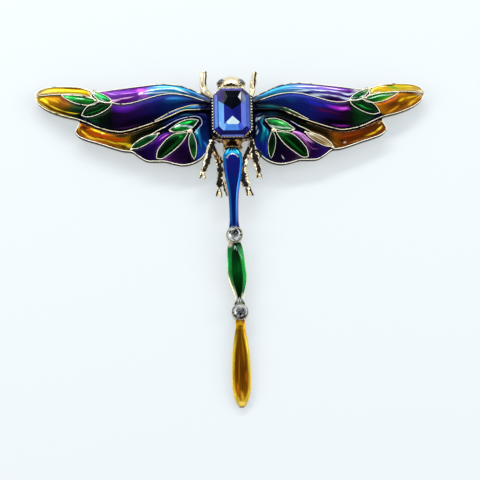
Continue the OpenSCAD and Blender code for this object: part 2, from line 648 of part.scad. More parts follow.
right("green") enamel(HIND_LEAF_LONG, hind_step);  // hind_leaf_long_right
left("green") enamel(HIND_LEAF_LONG, hind_step);  // hind_leaf_long_left
right("green") enamel(HIND_LEAF_INNER, hind_step);  // hind_leaf_inner_right
left("green") enamel(HIND_LEAF_INNER, hind_step);  // hind_leaf_inner_left
right("indigo") enamel(PLUM_OUTER, hind_step);  // plum_outer_right
left("indigo") enamel(PLUM_OUTER, hind_step);  // plum_outer_left
right("indigo") enamel(PLUM_INNER, hind_step);  // plum_inner_right
left("indigo") enamel(PLUM_INNER, hind_step);  // plum_inner_left
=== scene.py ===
import math
from contextlib import contextmanager

import bpy
from mathutils import Matrix, Vector, noise


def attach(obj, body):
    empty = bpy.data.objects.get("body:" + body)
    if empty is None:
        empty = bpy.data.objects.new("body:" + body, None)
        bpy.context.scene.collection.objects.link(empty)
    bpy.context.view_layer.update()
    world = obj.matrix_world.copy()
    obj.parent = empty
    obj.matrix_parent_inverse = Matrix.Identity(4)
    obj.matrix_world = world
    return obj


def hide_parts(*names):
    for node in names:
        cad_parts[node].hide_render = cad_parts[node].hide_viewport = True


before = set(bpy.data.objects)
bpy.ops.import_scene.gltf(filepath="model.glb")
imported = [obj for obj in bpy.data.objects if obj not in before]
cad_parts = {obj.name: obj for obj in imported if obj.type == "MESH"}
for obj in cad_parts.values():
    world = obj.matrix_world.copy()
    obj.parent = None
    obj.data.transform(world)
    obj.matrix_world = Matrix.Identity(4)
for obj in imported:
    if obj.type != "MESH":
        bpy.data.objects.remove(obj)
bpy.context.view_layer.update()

# Sizes in millimetres, as in the part
MM = 0.001
SETTING_X, SETTING_Y = 5.68, 7.68
RIM_Z, BACK_Z, GIRDLE_Z = 9.2, 4.2, 9.0
ROOT_X = 5.28
WING_REACH, WING_CHORD, WING_T = 47.2, 23.0, 1.8
WING_TOP, TIP_DROP, CAMBER, HIND_STEP, CREST = 7.0, 3.4, 0.8, 0.8, 0.15
ENAMEL_LIP, ENAMEL_DOME = 0.12, 0.3
LEG_D, LEG_REACH, FORE_REACH = 1.4, 14.8, 13.2
TAIL_TOP, TAIL_T, TAIL_LEAN = 6.6, 1.8, 1.0
WAIST_Y = -8.88
ABDOMEN_L, ABDOMEN_W = 21.6, 4.8
CUP_D, CUP_RISE, ROUND_D, EYE_D = 4.6, 0.8, 3.8, 2.0
CUP_1 = WAIST_Y - ABDOMEN_L - 0.38 * CUP_D
MIDDLE_START = CUP_1 - 0.42 * CUP_D
MIDDLE_L, MIDDLE_W = 16.4, 5.0
CUP_2 = MIDDLE_START - MIDDLE_L - 0.42 * CUP_D
DROP_START = CUP_2 - 0.42 * CUP_D
DROP_L, DROP_W = 22.4, 4.7
TAIL_END = DROP_START - DROP_L
MIDDLE_Y = (FORE_REACH + TAIL_END) / 2
HEAD_W = 7.6
HEAD_Z = BACK_Z + 0.28 * HEAD_W
PIN_HALF, PIN_END, PIN_Y = 12.5, 1.3, 3.4

# Sizes of the dressed part alone
PLATE_SINK = 0.5
GLAZE_T, TAIL_GLAZE_T = 0.42, 0.3
FINE_LINE, LEAF_LINE = 0.095, 0.08
STONE_HALF, STONE_CUT, STONE_FOOT, STONE_Y = (4.88, 6.77), 1.9, 7.4, 0.22
CROWN_ROWS, TABLE_Z = (9.5, 10.27), 10.5
SETTING_HALF, SETTING_CUT, SETTING_MIDDLE = (5.52, 7.4), 2.15, 0.24
BEAD_HALF, BEAD_PITCH, LIP_HALF, LIP_PITCH = (5.17, 7.04), 0.82, (4.92, 6.81), 0.6
HEAD_HALF, HEAD_HIGH = 3.8, 2.1
SIDES = {"right": 1, "left": -1}

# Strength of the paint, scale and height in metres of the gilt metal's grain, painted shade of enamel
# edges next to the gold lines
PAINT = 0.58
GRAIN_SIZE, GRAIN_HEIGHT = 1400.0, 0.00008
PAINTED_EDGE_SHADE = (0.004, 0.006, 0.012)

# The photo's camera: turn, rise and roll in degrees, its distance in metres, its lens in pixels
CAMERA_TURN, CAMERA_RISE, CAMERA_ROLL = -9.17992, 74.4957, 8.03327
CAMERA_AIM, CAMERA_AWAY = (1.39978, -33.65125, 5.0), 0.35
LENS_PIXELS, PHOTO_PIXELS, SENSOR = 1344.737, 480, 36

# Wing lines, as in the part: share of the reach, share of the chord.
# A cell has its two edges, and how much of them is left off at either end
LEADING = [[0, 0.222], [0.074, 0.296], [0.142, 0.365], [0.222, 0.407], [0.301, 0.413],
    [0.386, 0.396], [0.47, 0.378], [0.555, 0.359], [0.629, 0.343], [0.689, 0.365],
    [0.746, 0.409], [0.809, 0.426], [0.873, 0.435], [0.932, 0.43], [0.968, 0.409],
    [0.992, 0.37], [1, 0.328]]
FORE_EDGE = [[0, 0.083], [0.089, 0.078], [0.161, 0.07], [0.235, 0.004], [0.311, -0.061],
    [0.386, -0.113], [0.46, -0.157], [0.513, -0.174], [0.576, -0.152], [0.64, -0.109],
    [0.703, -0.043], [0.761, 0.009], [0.831, 0.052], [0.894, 0.104], [0.943, 0.161],
    [0.981, 0.23], [1, 0.306]]
HIND_TUCK = [[0, 0.113], [0.089, 0.104], [0.161, 0.096], [0.235, 0.03], [0.311, -0.035],
    [0.386, -0.087], [0.46, -0.13], [0.513, -0.148], [0.576, -0.126], [0.64, -0.083],
    [0.703, -0.017], [0.75, 0.004]]
HIND_EDGE = [[0, -0.27], [0.013, -0.365], [0.038, -0.443], [0.074, -0.513], [0.121, -0.557],
    [0.169, -0.57], [0.216, -0.552], [0.269, -0.524], [0.322, -0.522], [0.369, -0.513],
    [0.413, -0.461], [0.451, -0.404], [0.502, -0.387], [0.561, -0.348], [0.629, -0.296],
    [0.708, -0.239], [0.752, -0.191], [0.771, -0.13], [0.756, -0.065], [0.75, -0.017]]
VEIN = [[0.011, 0.17], [0.068, 0.209], [0.121, 0.248], [0.174, 0.274], [0.227, 0.285],
    [0.28, 0.276], [0.333, 0.25], [0.386, 0.217], [0.439, 0.185], [0.485, 0.17],
    [0.528, 0.174], [0.561, 0.196]]
BAND_EDGE = [[0.028, 0.135], [0.11, 0.137], [0.174, 0.104], [0.227, 0.061], [0.28, 0],
    [0.32, -0.048], [0.379, -0.083], [0.43, -0.109], [0.481, -0.135], [0.534, -0.139],
    [0.583, -0.122], [0.629, -0.087], [0.672, -0.043], [0.712, 0.017]]
CELLS = {
    "strip_top": (LEADING[:10],
        VEIN + [[0.58, 0.257], [0.608, 0.296], [0.642, 0.33], [0.678, 0.359]], 0.005, 0.01),
    "band_mid": (VEIN + [[0.57, 0.148], [0.593, 0.107], [0.629, 0.063], [0.667, 0.035],
        [0.708, 0.024]], BAND_EDGE, 0.005, 0.01),
    "strip_step": (BAND_EDGE[:6],
        [[0.028, 0.085], [0.089, 0.08]] + FORE_EDGE[2:5], 0.01, 0.05),
    "amber_top": (LEADING[9:16] + [[0.996, 0.346]],
        [[0.678, 0.27], [0.706, 0.283], [0.742, 0.302], [0.799, 0.32], [0.847, 0.333],
        [0.915, 0.341], [0.996, 0.335]], 0.01, 0.04),
    "amber_low": ([[0.697, 0.172], [0.733, 0.183], [0.771, 0.204], [0.816, 0.257], [0.847, 0.313],
        [0.915, 0.328], [0.996, 0.318]],
        [[0.737, 0.039], [0.769, 0.017]] + FORE_EDGE[12:16] + [[0.996, 0.29]], 0.01, 0.05),
    "fore_leaf_outer": ([[0.636, 0.222], [0.682, 0.261], [0.739, 0.296], [0.797, 0.313], [0.85, 0.322]],
        [[0.636, 0.217], [0.691, 0.174], [0.731, 0.185], [0.771, 0.209], [0.816, 0.261],
        [0.85, 0.317]], 0.03, 0.04),
    "fore_leaf_upper": ([[0.561, 0.204], [0.58, 0.257], [0.608, 0.296], [0.642, 0.33], [0.678, 0.357]],
        [[0.561, 0.2], [0.6, 0.2], [0.633, 0.226], [0.65, 0.257], [0.669, 0.304], [0.678, 0.352]],
        0.04, 0.05),
    "fore_leaf_lower": ([[0.561, 0.191], [0.6, 0.196], [0.633, 0.211], [0.659, 0.18], [0.691, 0.167],
        [0.714, 0.126], [0.733, 0.052]],
        [[0.561, 0.187], [0.572, 0.143], [0.595, 0.104], [0.629, 0.063], [0.667, 0.035],
        [0.701, 0.028], [0.731, 0.048]], 0.03, 0.04),
    "root_sweep": ([[0.4495, -0.33], [0.43, -0.291], [0.392, -0.239], [0.343, -0.2], [0.303, -0.152],
        [0.263, -0.113], [0.225, -0.063], [0.191, -0.028], [0.15, -0.002], [0.112, 0.011],
        [0.083, 0.009], [0.061, -0.022], [0.057, -0.08], [0.075, -0.129], [0.099, -0.187],
        [0.097, -0.243], [0.089, -0.304], [0.085, -0.383], [0.089, -0.452], [0.097, -0.522]],
        [[0.4495, -0.157], [0.417, -0.139], [0.386, -0.117], [0.347, -0.091], [0.311, -0.065],
        [0.273, -0.035], [0.235, 0], [0.197, 0.041], [0.161, 0.065], [0.125, 0.076],
        [0.089, 0.076], [0.047, 0.069], [0.02, 0.02], [0.016, -0.057], [0.016, -0.13],
        [0.015, -0.2], [0.014, -0.272], [0.017, -0.352], [0.044, -0.448], [0.091, -0.53]], 0.0, 0.0),
    "hind_amber": ([[0.45, -0.158], [0.513, -0.178], [0.576, -0.157], [0.64, -0.113],
        [0.703, -0.048], [0.746, -0.017]],
        [[0.4505, -0.385]] + HIND_EDGE[12:17] + [[0.769, -0.13], [0.754, -0.061], [0.748, -0.026]], 0.0,
            0.02),
    "hind_leaf_outer": ([[0.305, -0.196], [0.347, -0.207], [0.392, -0.243], [0.432, -0.296],
        [0.456, -0.352]],
        [[0.305, -0.2], [0.32, -0.243], [0.347, -0.287], [0.388, -0.335], [0.422, -0.361],
        [0.456, -0.361]], 0.04, 0.05),
    "hind_leaf_upper": ([[0.076, -0.035], [0.104, -0.024], [0.138, -0.026], [0.18, -0.057],
        [0.214, -0.104], [0.242, -0.152]],
        [[0.076, -0.039], [0.091, -0.083], [0.108, -0.122], [0.133, -0.152], [0.172, -0.174],
        [0.21, -0.178], [0.242, -0.157]], 0.04, 0.05),
    "hind_leaf_long": ([[0.136, -0.183], [0.203, -0.196], [0.237, -0.228], [0.265, -0.278],
        [0.292, -0.343], [0.309, -0.404], [0.314, -0.478]],
        [[0.136, -0.191], [0.159, -0.27], [0.18, -0.326], [0.21, -0.383], [0.248, -0.443],
        [0.284, -0.487], [0.314, -0.483]], 0.03, 0.04),
    "hind_leaf_inner": ([[0.114, -0.178], [0.129, -0.23], [0.132, -0.313], [0.125, -0.4],
        [0.114, -0.465], [0.103, -0.5]],
        [[0.112, -0.178], [0.102, -0.23], [0.091, -0.304], [0.089, -0.387], [0.093, -0.448],
        [0.102, -0.5]], 0.03, 0.04),
    "plum_outer": ([[0.222, -0.187], [0.252, -0.174], [0.294, -0.209], [0.316, -0.252],
        [0.347, -0.296], [0.388, -0.343], [0.422, -0.37], [0.447, -0.383]],
        [[0.218, -0.204], [0.244, -0.23], [0.269, -0.278], [0.297, -0.343], [0.316, -0.413],
        [0.326, -0.517], [0.369, -0.509], [0.413, -0.457], [0.443, -0.409]], 0.01, 0.03),
    "plum_inner": ([[0.14, -0.209], [0.161, -0.278], [0.182, -0.335], [0.212, -0.391],
        [0.25, -0.452], [0.297, -0.5]],
        [[0.133, -0.217], [0.137, -0.313], [0.129, -0.4], [0.117, -0.47], [0.112, -0.539],
        [0.146, -0.565], [0.18, -0.565], [0.227, -0.543], [0.294, -0.517]], 0.01, 0.02),
}
FORE_CELLS = ("strip_top", "band_mid", "strip_step", "amber_top", "amber_low", "fore_leaf_outer",
    "fore_leaf_upper", "fore_leaf_lower")
LEAVES = [name for name in CELLS if "leaf" in name]
# Cells that meet without a gold line: how far inside each edge they end, in millimetres
INSETS = {"root_sweep": (0.07, 0.3), "hind_amber": (0.3, 0.12)}

# Further gold lines, and the knots where lines meet: place, step down, radius
TIP_LINE = [[0.678, 0.27], [0.706, 0.28], [0.742, 0.299], [0.799, 0.317], [0.847, 0.328],
    [0.915, 0.334], [0.998, 0.326]]
TIP_FORK = [[0.684, 0.362], [0.68, 0.32], [0.677, 0.275], [0.655, 0.235]]
TUCK_LINE = CELLS["hind_amber"][0][::-1] + [[0.43, -0.147]] + CELLS["root_sweep"][1][1:5]
KNOTS = (((0.566, 0.197), 0, 0.42), ((0.655, 0.232), 0, 0.3), ((0.124, -0.165), HIND_STEP, 0.66),
    ((0.232, -0.165), HIND_STEP, 0.34), ((0.302, -0.19), HIND_STEP, 0.3),
    ((0.455, -0.37), HIND_STEP, 0.34))

# Tail outlines: share of the length, share of the half width, share of it taken by the flat facet
ABDOMEN = [[0, 0.3, 0.5], [0.012, 0.56, 0.56], [0.03, 0.82, 0.6], [0.06, 1.0, 0.68], [0.11, 1.09, 0.74],
    [0.18, 1.1, 0.76], [0.26, 1.04, 0.74], [0.36, 0.91, 0.7], [0.45, 0.76, 0.64], [0.56, 0.59, 0.56],
    [0.66, 0.53, 0.5], [0.8, 0.5, 0.44], [0.93, 0.5, 0.4], [1, 0.62, 0.3]]
MIDDLE = [[0, 0.6, 0.3], [0.05, 0.76, 0.36], [0.15, 0.87, 0.44], [0.28, 0.94, 0.5], [0.41, 0.95, 0.56],
    [0.52, 1, 0.58], [0.63, 0.91, 0.58], [0.74, 0.71, 0.56], [0.86, 0.46, 0.5], [0.92, 0.4, 0.5],
    [1, 0.62, 0.4]]
DROP = [[0, 0.52, 0.4], [0.094, 0.52, 0.5], [0.263, 0.82, 0.7], [0.4, 0.98, 0.76], [0.513, 1.03, 0.78],
    [0.647, 1.06, 0.8], [0.78, 1.03, 0.78], [0.87, 0.87, 0.74], [0.95, 0.62, 0.62], [0.985, 0.42, 0.5],
    [1, 0.12, 0.4]]


def place(x, y, z):
    """Millimetres from the large stone's middle to metres in the part's frame."""
    return Vector((x * MM, (y - MIDDLE_Y) * MM, z * MM))


def in_part(at):
    """Metres in the part's frame back to millimetres from the stone's middle."""
    return Vector((at.x / MM, at.y / MM + MIDDLE_Y, at.z / MM))


def mix(a, b, share):
    return a + (b - a) * share


def ease(share):
    share = min(1, max(0, share))
    return share * share * (3 - 2 * share)


def curve(rows, share):
    """A smooth curve through the rows, as the part draws it."""
    reached = min(max(share, 0), 1) * (len(rows) - 1)
    i = min(int(reached), len(rows) - 2)
    f = reached - i
    a, b, c, d = (rows[max(0, min(len(rows) - 1, k))] for k in (i - 1, i, i + 1, i + 2))
    return [(2 * q + (r - p) * f + (2 * p - 5 * q + 4 * r - s) * f * f
        + (3 * q - p - 3 * r + s) * f ** 3) / 2 for p, q, r, s in zip(a, b, c, d)]


def wing_spot(share):
    return Vector((ROOT_X + share[0] * WING_REACH, share[1] * WING_CHORD))


def wing_height(at):
    along = ((at[0] - ROOT_X) / WING_REACH - CREST) / (1 - CREST)
    beside = 2 * at[1] / WING_CHORD
    return WING_TOP - TIP_DROP * along * along - CAMBER * beside * beside


def tail_x(y):
    return TAIL_LEAN * ease((y - CUP_1) / (CUP_2 - CUP_1))


def tail_z(y):
    return TAIL_TOP + (TAIL_T - TAIL_TOP) * (y - WAIST_Y) / (TAIL_END - WAIST_Y)


# Bench tools
def only(*pieces):
    """Selects just these pieces, the first one active."""
    bpy.ops.object.select_all(action="DESELECT")
    for piece in pieces:
        piece.select_set(True)
    bpy.context.view_layer.objects.active = pieces[0]


def named(name):
    piece = bpy.context.object
    piece.name = piece.data.name = name
    return piece


def settle():
    """Puts the active piece's place, turn and scale into its mesh."""
    bpy.ops.object.transform_apply(location=True, rotation=True, scale=True)


def fresh(name, shape, location=(0, 0, 0), **settings):
    """A new basic shape."""
    bpy.ops.object.select_all(action="DESELECT")
    getattr(bpy.ops.mesh, "primitive_%s_add" % shape)(location=location, **settings)
    settle()
    return named(name)


@contextmanager
def editing(piece, test=None, kind="FACE"):
    """Edit mode, with all selected, or just the faces or edges that pass the test."""
    only(piece)
    bpy.ops.object.mode_set(mode="EDIT")
    if test:
        bpy.ops.mesh.select_mode(type=kind)
        bpy.ops.mesh.select_all(action="DESELECT")
        bpy.ops.object.mode_set(mode="OBJECT")
        for part in piece.data.polygons if kind == "FACE" else piece.data.edges:
            part.select = test(part)
        bpy.ops.object.mode_set(mode="EDIT")
    else:
        bpy.ops.mesh.select_all(action="SELECT")
    yield
    bpy.ops.object.mode_set(mode="OBJECT")


def apply(piece, kind, **settings):
    only(piece)
    tool = piece.modifiers.new(kind.lower(), kind)
    for key, value in settings.items():
        setattr(tool, key, value)
    bpy.ops.object.modifier_apply(modifier=tool.name)


def close_up(piece):
    """Merges doubles and turns the faces outwards."""
    with editing(piece):
        bpy.ops.mesh.remove_doubles(threshold=2e-6)
        bpy.ops.mesh.normals_make_consistent(inside=False)


def thicken(piece, thickness):
    """Makes a sheet solid, downwards."""
    apply(piece, "SOLIDIFY", thickness=thickness * MM, offset=-1)
    close_up(piece)


def soften(piece, width, segments, angle=50):
    """Rounds the edges that are sharper than the angle."""
    apply(piece, "BEVEL", width=width * MM, segments=segments, limit_method="ANGLE",
        angle_limit=math.radians(angle))


def joined(name, pieces):
    only(*pieces)
    bpy.ops.object.join()
    return named(name)


def moved(piece, at):
    """Moves a mesh by a place in millimetres."""
    piece.data.transform(Matrix.Translation(place(*at)))
    return piece


def mark_wear_and_shade(piece, wear_and_shade):
    """Marks each vertex from dark, 0, to bright, 1, for wear and painted shade, as the given function
    says.
    """
    marks = piece.data.attributes.get("wear_and_shade") or piece.data.attributes.new("wear_and_shade", "FLOAT", "POINT")
    for mark, vertex in zip(marks.data, piece.data.vertices):
        mark.value = wear_and_shade(vertex)


def slope_light_and_shade(vertex, low, high):
    """Bright where the surface looks up, dark on the sides: painted light on the tops, painted shade on
    the sides.
    """
    return ease((vertex.normal.z - low) / (high - low))


# Marks painted light on the tops and painted shade on the sides
def shade_by_slope(piece, low=-0.3, high=0.6):
    mark_wear_and_shade(piece, lambda vertex: slope_light_and_shade(vertex, low, high))


def sheet(name, columns, rows, at, wear_and_shade=None):
    """A grid laid over a surface. at(u, v) gives a place in millimetres, the optional second function its
    mark of wear and painted shade.
    """
    piece = fresh(name, "grid", x_subdivisions=columns, y_subdivisions=rows, size=1)
    if wear_and_shade:
        mark_wear_and_shade(piece, lambda vertex: wear_and_shade(vertex.co.x + 0.5, vertex.co.y + 0.5))
    for vertex in piece.data.vertices:
        vertex.co = place(*at(vertex.co.x + 0.5, vertex.co.y + 0.5))
    piece.data.update()
    if sum(f.normal.z * f.area for f in piece.data.polygons) < 0:
        with editing(piece):
            bpy.ops.mesh.flip_normals()
    return piece


def rod(name, points, radii, closed=False):
    """A round wire along points, in millimetres."""
    bpy.ops.object.select_all(action="DESELECT")
    bpy.ops.curve.primitive_bezier_curve_add(location=(0, 0, 0))
    wire = bpy.context.object.data
    wire.splines.clear()
    strand = wire.splines.new("POLY")
    strand.points.add(len(points) - 1)
    for point, at, radius in zip(strand.points, points, radii):
        point.co = (*place(*at), 1)
        point.radius = radius
    strand.use_cyclic_u = closed
    wire.bevel_depth = MM
    wire.bevel_resolution = 2
    wire.use_fill_caps = True
    bpy.ops.object.convert(target="MESH")
    return named(name)


def octagon_block(name, half, cut, low, high, middle, corner_steps=1):
    """A block with its four upright corners cut."""
    block = fresh(name, "cube", place(0, middle, (low + high) / 2), size=1,
        scale=(2 * half[0] * MM, 2 * half[1] * MM, (high - low) * MM))

    def upright(edge):
        a, b = (block.data.vertices[k].co for k in edge.vertices)
        return abs(a.z - b.z) > 1e-6
    with editing(block, upright, "EDGE"):
        bpy.ops.mesh.bevel(offset=cut * MM, segments=corner_steps, affect="EDGES")
    return block


def step_top(block, inset, rise):
    """Insets the topmost face and lifts it, for one row of facets or one wall."""
    top = max(face.center.z for face in block.data.polygons)
    with editing(block, lambda face: face.center.z > top - 1e-6 and face.normal.z > 0.5):
        if inset:
            bpy.ops.mesh.inset(thickness=inset * MM)
            bpy.ops.transform.translate(value=(0, 0, rise * MM))
        else:
            bpy.ops.mesh.extrude_region_move(TRANSFORM_OT_translate={"value": (0, 0, rise * MM)})


def octagon_path(half, cut, pitch):
    """Evenly spaced spots round an octagon with its corners a little rounded."""
    (half_w, half_l), bend, tuck = half, 0.5, 0.05
    corners = [(half_w, half_l - cut), (half_w, cut - half_l), (half_w - cut, -half_l),
        (cut - half_w, -half_l), (-half_w, cut - half_l), (-half_w, half_l - cut),
        (cut - half_w, half_l), (half_w - cut, half_l)]
    rounded = []
    for i, corner in enumerate(corners):
        before, after = Vector(corners[i - 1]), Vector(corners[(i + 1) % 8])
        here = Vector(corner)
        rounded += [here.lerp(before, min(0.4, bend / (here - before).length)),
            here.lerp(before, tuck).lerp(here.lerp(after, tuck), 0.5),
            here.lerp(after, min(0.4, bend / (here - after).length))]
    lengths = [(rounded[i] - rounded[i - 1]).length for i in range(len(rounded))]
    total = sum(lengths)
    count = round(total / pitch)
    spots = []
    for k in range(count):
        want, i, after = k * total / count, 0, 1
        while want > lengths[after]:
            want -= lengths[after]
            i, after = after, (after + 1) % len(rounded)
        spots.append(rounded[i].lerp(rounded[after], want / lengths[after]))
    return spots


def grains(name, spots, radius):
    """One small bead, a little flat, copied to each spot."""
    bead = fresh("bead", "ico_sphere", subdivisions=2, radius=radius * MM, scale=(1, 1, 0.9))
    row = []
    for at in spots:
        copy = bead.copy()
        copy.data = bead.data.copy()
        bpy.context.collection.objects.link(copy)
        row.append(moved(copy, at))
    bpy.data.objects.remove(bead)
    return joined(name, row)


def finish_piece(piece, slot, material, node, angle):
    """Smooth faces up to an angle and the finish; hides the part's node that the piece stands for."""
    only(piece)
    settle()
    bpy.ops.object.shade_smooth_by_angle(angle=math.radians(angle))
    piece.data.materials.clear()
    piece.data.materials.append(material)
    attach(piece, "root")
    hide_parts(node)


def gild(piece, finish, angle=35):
    """Finishes a piece of the gilt casting."""
    finish_piece(piece, "gold", finish, "frame", angle)


def gild_wire(piece, finish, low=-0.3, high=0.6):
    """Finishes a rounded wire of the casting, bright on top: painted light on top, painted shade below.
    """
    close_up(piece)
    shade_by_slope(piece, low, high)
    gild(piece, finish, angle=60)


# Finishes
def light(colour):
    """A screen colour as light."""
    return tuple((c / 255 / 12.92 if c <= 10 else ((c / 255 + 0.055) / 1.055) ** 2.4) for c in colour)


def blend(a, b, share):
    """Two screen colours mixed as light."""
    return tuple(mix(p, q, share) for p, q in zip(light(a), light(b)))


def fill_in(tree, node, inputs):
    """Sets a node's inputs to values, or joins them to the sockets of other nodes."""
    for key, value in inputs.items():
        if isinstance(value, bpy.types.NodeSocket):
            tree.links.new(value, node.inputs[key])
        else:
            node.inputs[key].default_value = value
    return node


def new_node(tree, kind, inputs, **settings):
    node = tree.nodes.new("ShaderNode" + kind)
    for key, value in settings.items():
        setattr(node, key, value)
    return fill_in(tree, node, inputs)


def math_node(tree, kind, *values):
    return new_node(tree, "Math", dict(enumerate(values)), operation=kind).outputs[0]


def length_node(tree, vector):
    return new_node(tree, "VectorMath", {0: vector}, operation="LENGTH").outputs["Value"]


def range_node(tree, value, low=0.0, high=1.0, first=0.0, last=1.0, kind="SMOOTHSTEP"):
    """Turns low to high into first to last."""
    inputs = {0: value, 1: low, 2: high, 3: first, 4: last}
    return new_node(tree, "MapRange", inputs, interpolation_type=kind).outputs[0]


def blend_node(tree, factor, a, b, kind="MIX"):
    a, b = ((*c, 1) if isinstance(c, tuple) else c for c in (a, b))
    return new_node(tree, "Mix", {0: factor, 6: a, 7: b}, data_type="RGBA", blend_type=kind).outputs[2]


def multiplied(tree, colour, by):
    """A colour multiplied by another or by a number."""
    return blend_node(tree, 1.0, colour, (by, by, by) if isinstance(by, float) else by, "MULTIPLY")


def grey_of(tree, value):
    return new_node(tree, "CombineColor", {0: value, 1: value, 2: value}).outputs[0]


def place_group(tree, kit, inputs):
    return new_node(tree, "Group", inputs, node_tree=kit)


def group(name, inputs, outputs):
    """A node group. Its inputs are numbers or vectors, by their first values, its outputs numbers."""
    kit = bpy.data.node_groups.new(name, "ShaderNodeTree")
    for title, value in inputs.items():
        kind = "NodeSocketVector" if isinstance(value, tuple) else "NodeSocketFloat"
        kit.interface.new_socket(name=title, in_out="INPUT", socket_type=kind).default_value = value
    for title in outputs:
        kit.interface.new_socket(name=title, in_out="OUTPUT", socket_type="NodeSocketFloat")
    return kit, kit.nodes.new("NodeGroupInput").outputs, kit.nodes.new("NodeGroupOutput")


def make_touch():
    """A soft oval on the piece's own map: 1 in its middle, 0 beyond its reach."""
    kit, start, end = group("painted touch", {"Map": (0, 0, 0), "Middle": (0.5, 0.5, 0),
        "Turn": (0, 0, 0), "Reach": (0.2, 0.2, 1), "Strength": 1.0}, ["Mask"])
    turned = new_node(kit, "Mapping", {"Vector": start["Map"], "Location": start["Middle"],
        "Rotation": start["Turn"], "Scale": start["Reach"]}, vector_type="TEXTURE")
    fade = range_node(kit, length_node(kit, turned.outputs[0]), 0.25, 1.0, 1.0, 0.0)
    fill_in(kit, end, {0: math_node(kit, "MULTIPLY", fade, start["Strength"])})
    return kit


def make_grain():
    """Fine casting grain: a shade and a height from noise on object coordinates."""
    kit, start, end = group("casting grain", {"Size": 900.0, "Contrast": 0.5}, ["Shade", "Height"])
    where = new_node(kit, "TexCoord", {}).outputs["Object"]
    fine = new_node(kit, "TexNoise", {"Vector": where, "Scale": start["Size"], "Detail": 4}).outputs[0]
    shade = math_node(kit, "MULTIPLY", math_node(kit, "SUBTRACT", fine, 0.5), start["Contrast"])
    fill_in(kit, end, {0: math_node(kit, "ADD", shade, 0.5), 1: fine})
    return kit


def make_streaks():
    """Brushed streaks along a cell's length: a brightness round 1, and a mask for painted glints, which
    are painted highlights.
    """
    kit, start, end = group("enamel streaks", {"Map": (0, 0, 0), "Spacing": (5, 34, 1), "Depth": 0.4},
        ["Shade", "Painted glint"])
    spread = new_node(kit, "Mapping", {"Vector": start["Map"], "Scale": start["Spacing"]}).outputs[0]
    lines = new_node(kit, "TexNoise", {"Vector": spread, "Scale": 1, "Detail": 3, "Distortion": 0.4})
    away = math_node(kit, "SUBTRACT", lines.outputs[0], 0.5)
    shade = math_node(kit, "MULTIPLY", away, math_node(kit, "MULTIPLY", start["Depth"], 2.0))
    fine = new_node(kit, "TexNoise", {"Vector": spread, "Scale": 1.7, "Detail": 1})
    fill_in(kit, end, {0: math_node(kit, "ADD", shade, 1.0),
        1: range_node(kit, fine.outputs[0], 0.56, 0.74)})
    return kit


TOUCH, GRAIN, STREAKS = make_touch(), make_grain(), make_streaks()


def new_material(name):
    material = bpy.data.materials.new(name)
    material.use_nodes = True
    tree = material.node_tree
    return material, tree, tree.nodes["Principled BSDF"]


def gold(name, bright, dark, rough, low, high, bump=0.25, metallic=1.0):
    """Antiqued gilt metal: dark where the mark of wear and painted shade is low, bright where it is high.
    """
    material, tree, shader = new_material(name)
    wear_and_shade = new_node(tree, "Attribute", {}, attribute_name="wear_and_shade")
    grain = place_group(tree, GRAIN, {"Size": GRAIN_SIZE, "Contrast": 0.9})
    uneven = math_node(tree, "SUBTRACT", grain.outputs["Shade"], 0.5)
    step = range_node(tree, math_node(tree, "ADD", wear_and_shade.outputs["Fac"], uneven), low, high)
    relief = new_node(tree, "Bump", {"Strength": bump, "Distance": GRAIN_HEIGHT,
        "Height": grain.outputs["Height"]})
    fill_in(tree, shader, {"Base Color": blend_node(tree, step, light(dark), light(bright)),
        "Roughness": range_node(tree, step, first=rough[0], last=rough[1], kind="LINEAR"),
        "Metallic": metallic, "Normal": relief.outputs[0]})
    return material


def spot(u, v, reach_u, reach_v, colour, strength=0.8):
    """A soft oval of colour on an enamel's map, its place and reach in hundredths."""
    return (u / 100, v / 100, reach_u / 100, reach_v / 100, 0, strength, colour)


def line(a, b, width, colour, strength=0.9):
    """A soft streak of colour from one place of an enamel's map to another, past both a little."""
    a, b = Vector(a) / 100, Vector(b) / 100
    along, middle = b - a, (a + b) / 2
    turn = math.atan2(along.y, along.x)
    return (middle.x, middle.y, 0.72 * along.length, 1.2 * width / 100, turn, strength, colour)


def sweep(points, width, colour, strength=0.9):
    """A soft streak of colour through several places of an enamel's map."""
    return [line(a, b, width, colour, strength) for a, b in zip(points, points[1:])]


def own_map(tree):
    """The piece's own map, and the shares along and across it."""
    where = new_node(tree, "TexCoord", {}).outputs["UV"]
    shares = new_node(tree, "SeparateXYZ", {0: where}).outputs
    return where, shares[0], shares[1]


def colour_ramp(tree, along, share):
    ramp = new_node(tree, "ValToRGB", {0: share})
    stops = ramp.color_ramp.elements
    while len(stops) < len(along):
        stops.new(0.5)
    for stop, (position, colour) in zip(stops, along):
        stop.position = position / 100
        stop.color = (*light(colour), 1)
    return ramp.outputs[0]


def paint_touches(tree, where, colour, touches, brightest):
    """Lays painted touches over a colour, many of them painted highlights and painted shade. The pale
    ones are lifted, up to the brightest factor.
    """
    for u, v, reach_u, reach_v, turn, strength, shade in touches:
        oval = place_group(tree, TOUCH, {"Map": where, "Middle": (u, v, 0), "Strength": strength,
            "Turn": (0, 0, turn), "Reach": (reach_u, reach_v, 1)})
        shade = light(shade)
        lift = mix(1, brightest, ease((max(shade) - 0.3) / 0.5))
        colour = blend_node(tree, oval.outputs[0], colour, tuple(c * lift for c in shade))
    return colour


def enamel_surface(tree, shader, colour, metallic, rough):
    fill_in(tree, shader, {"Base Color": colour, "Metallic": metallic, "Roughness": rough,
        "Specular IOR Level": 0.02, "Coat Weight": 0.02, "Coat Roughness": 0.06})


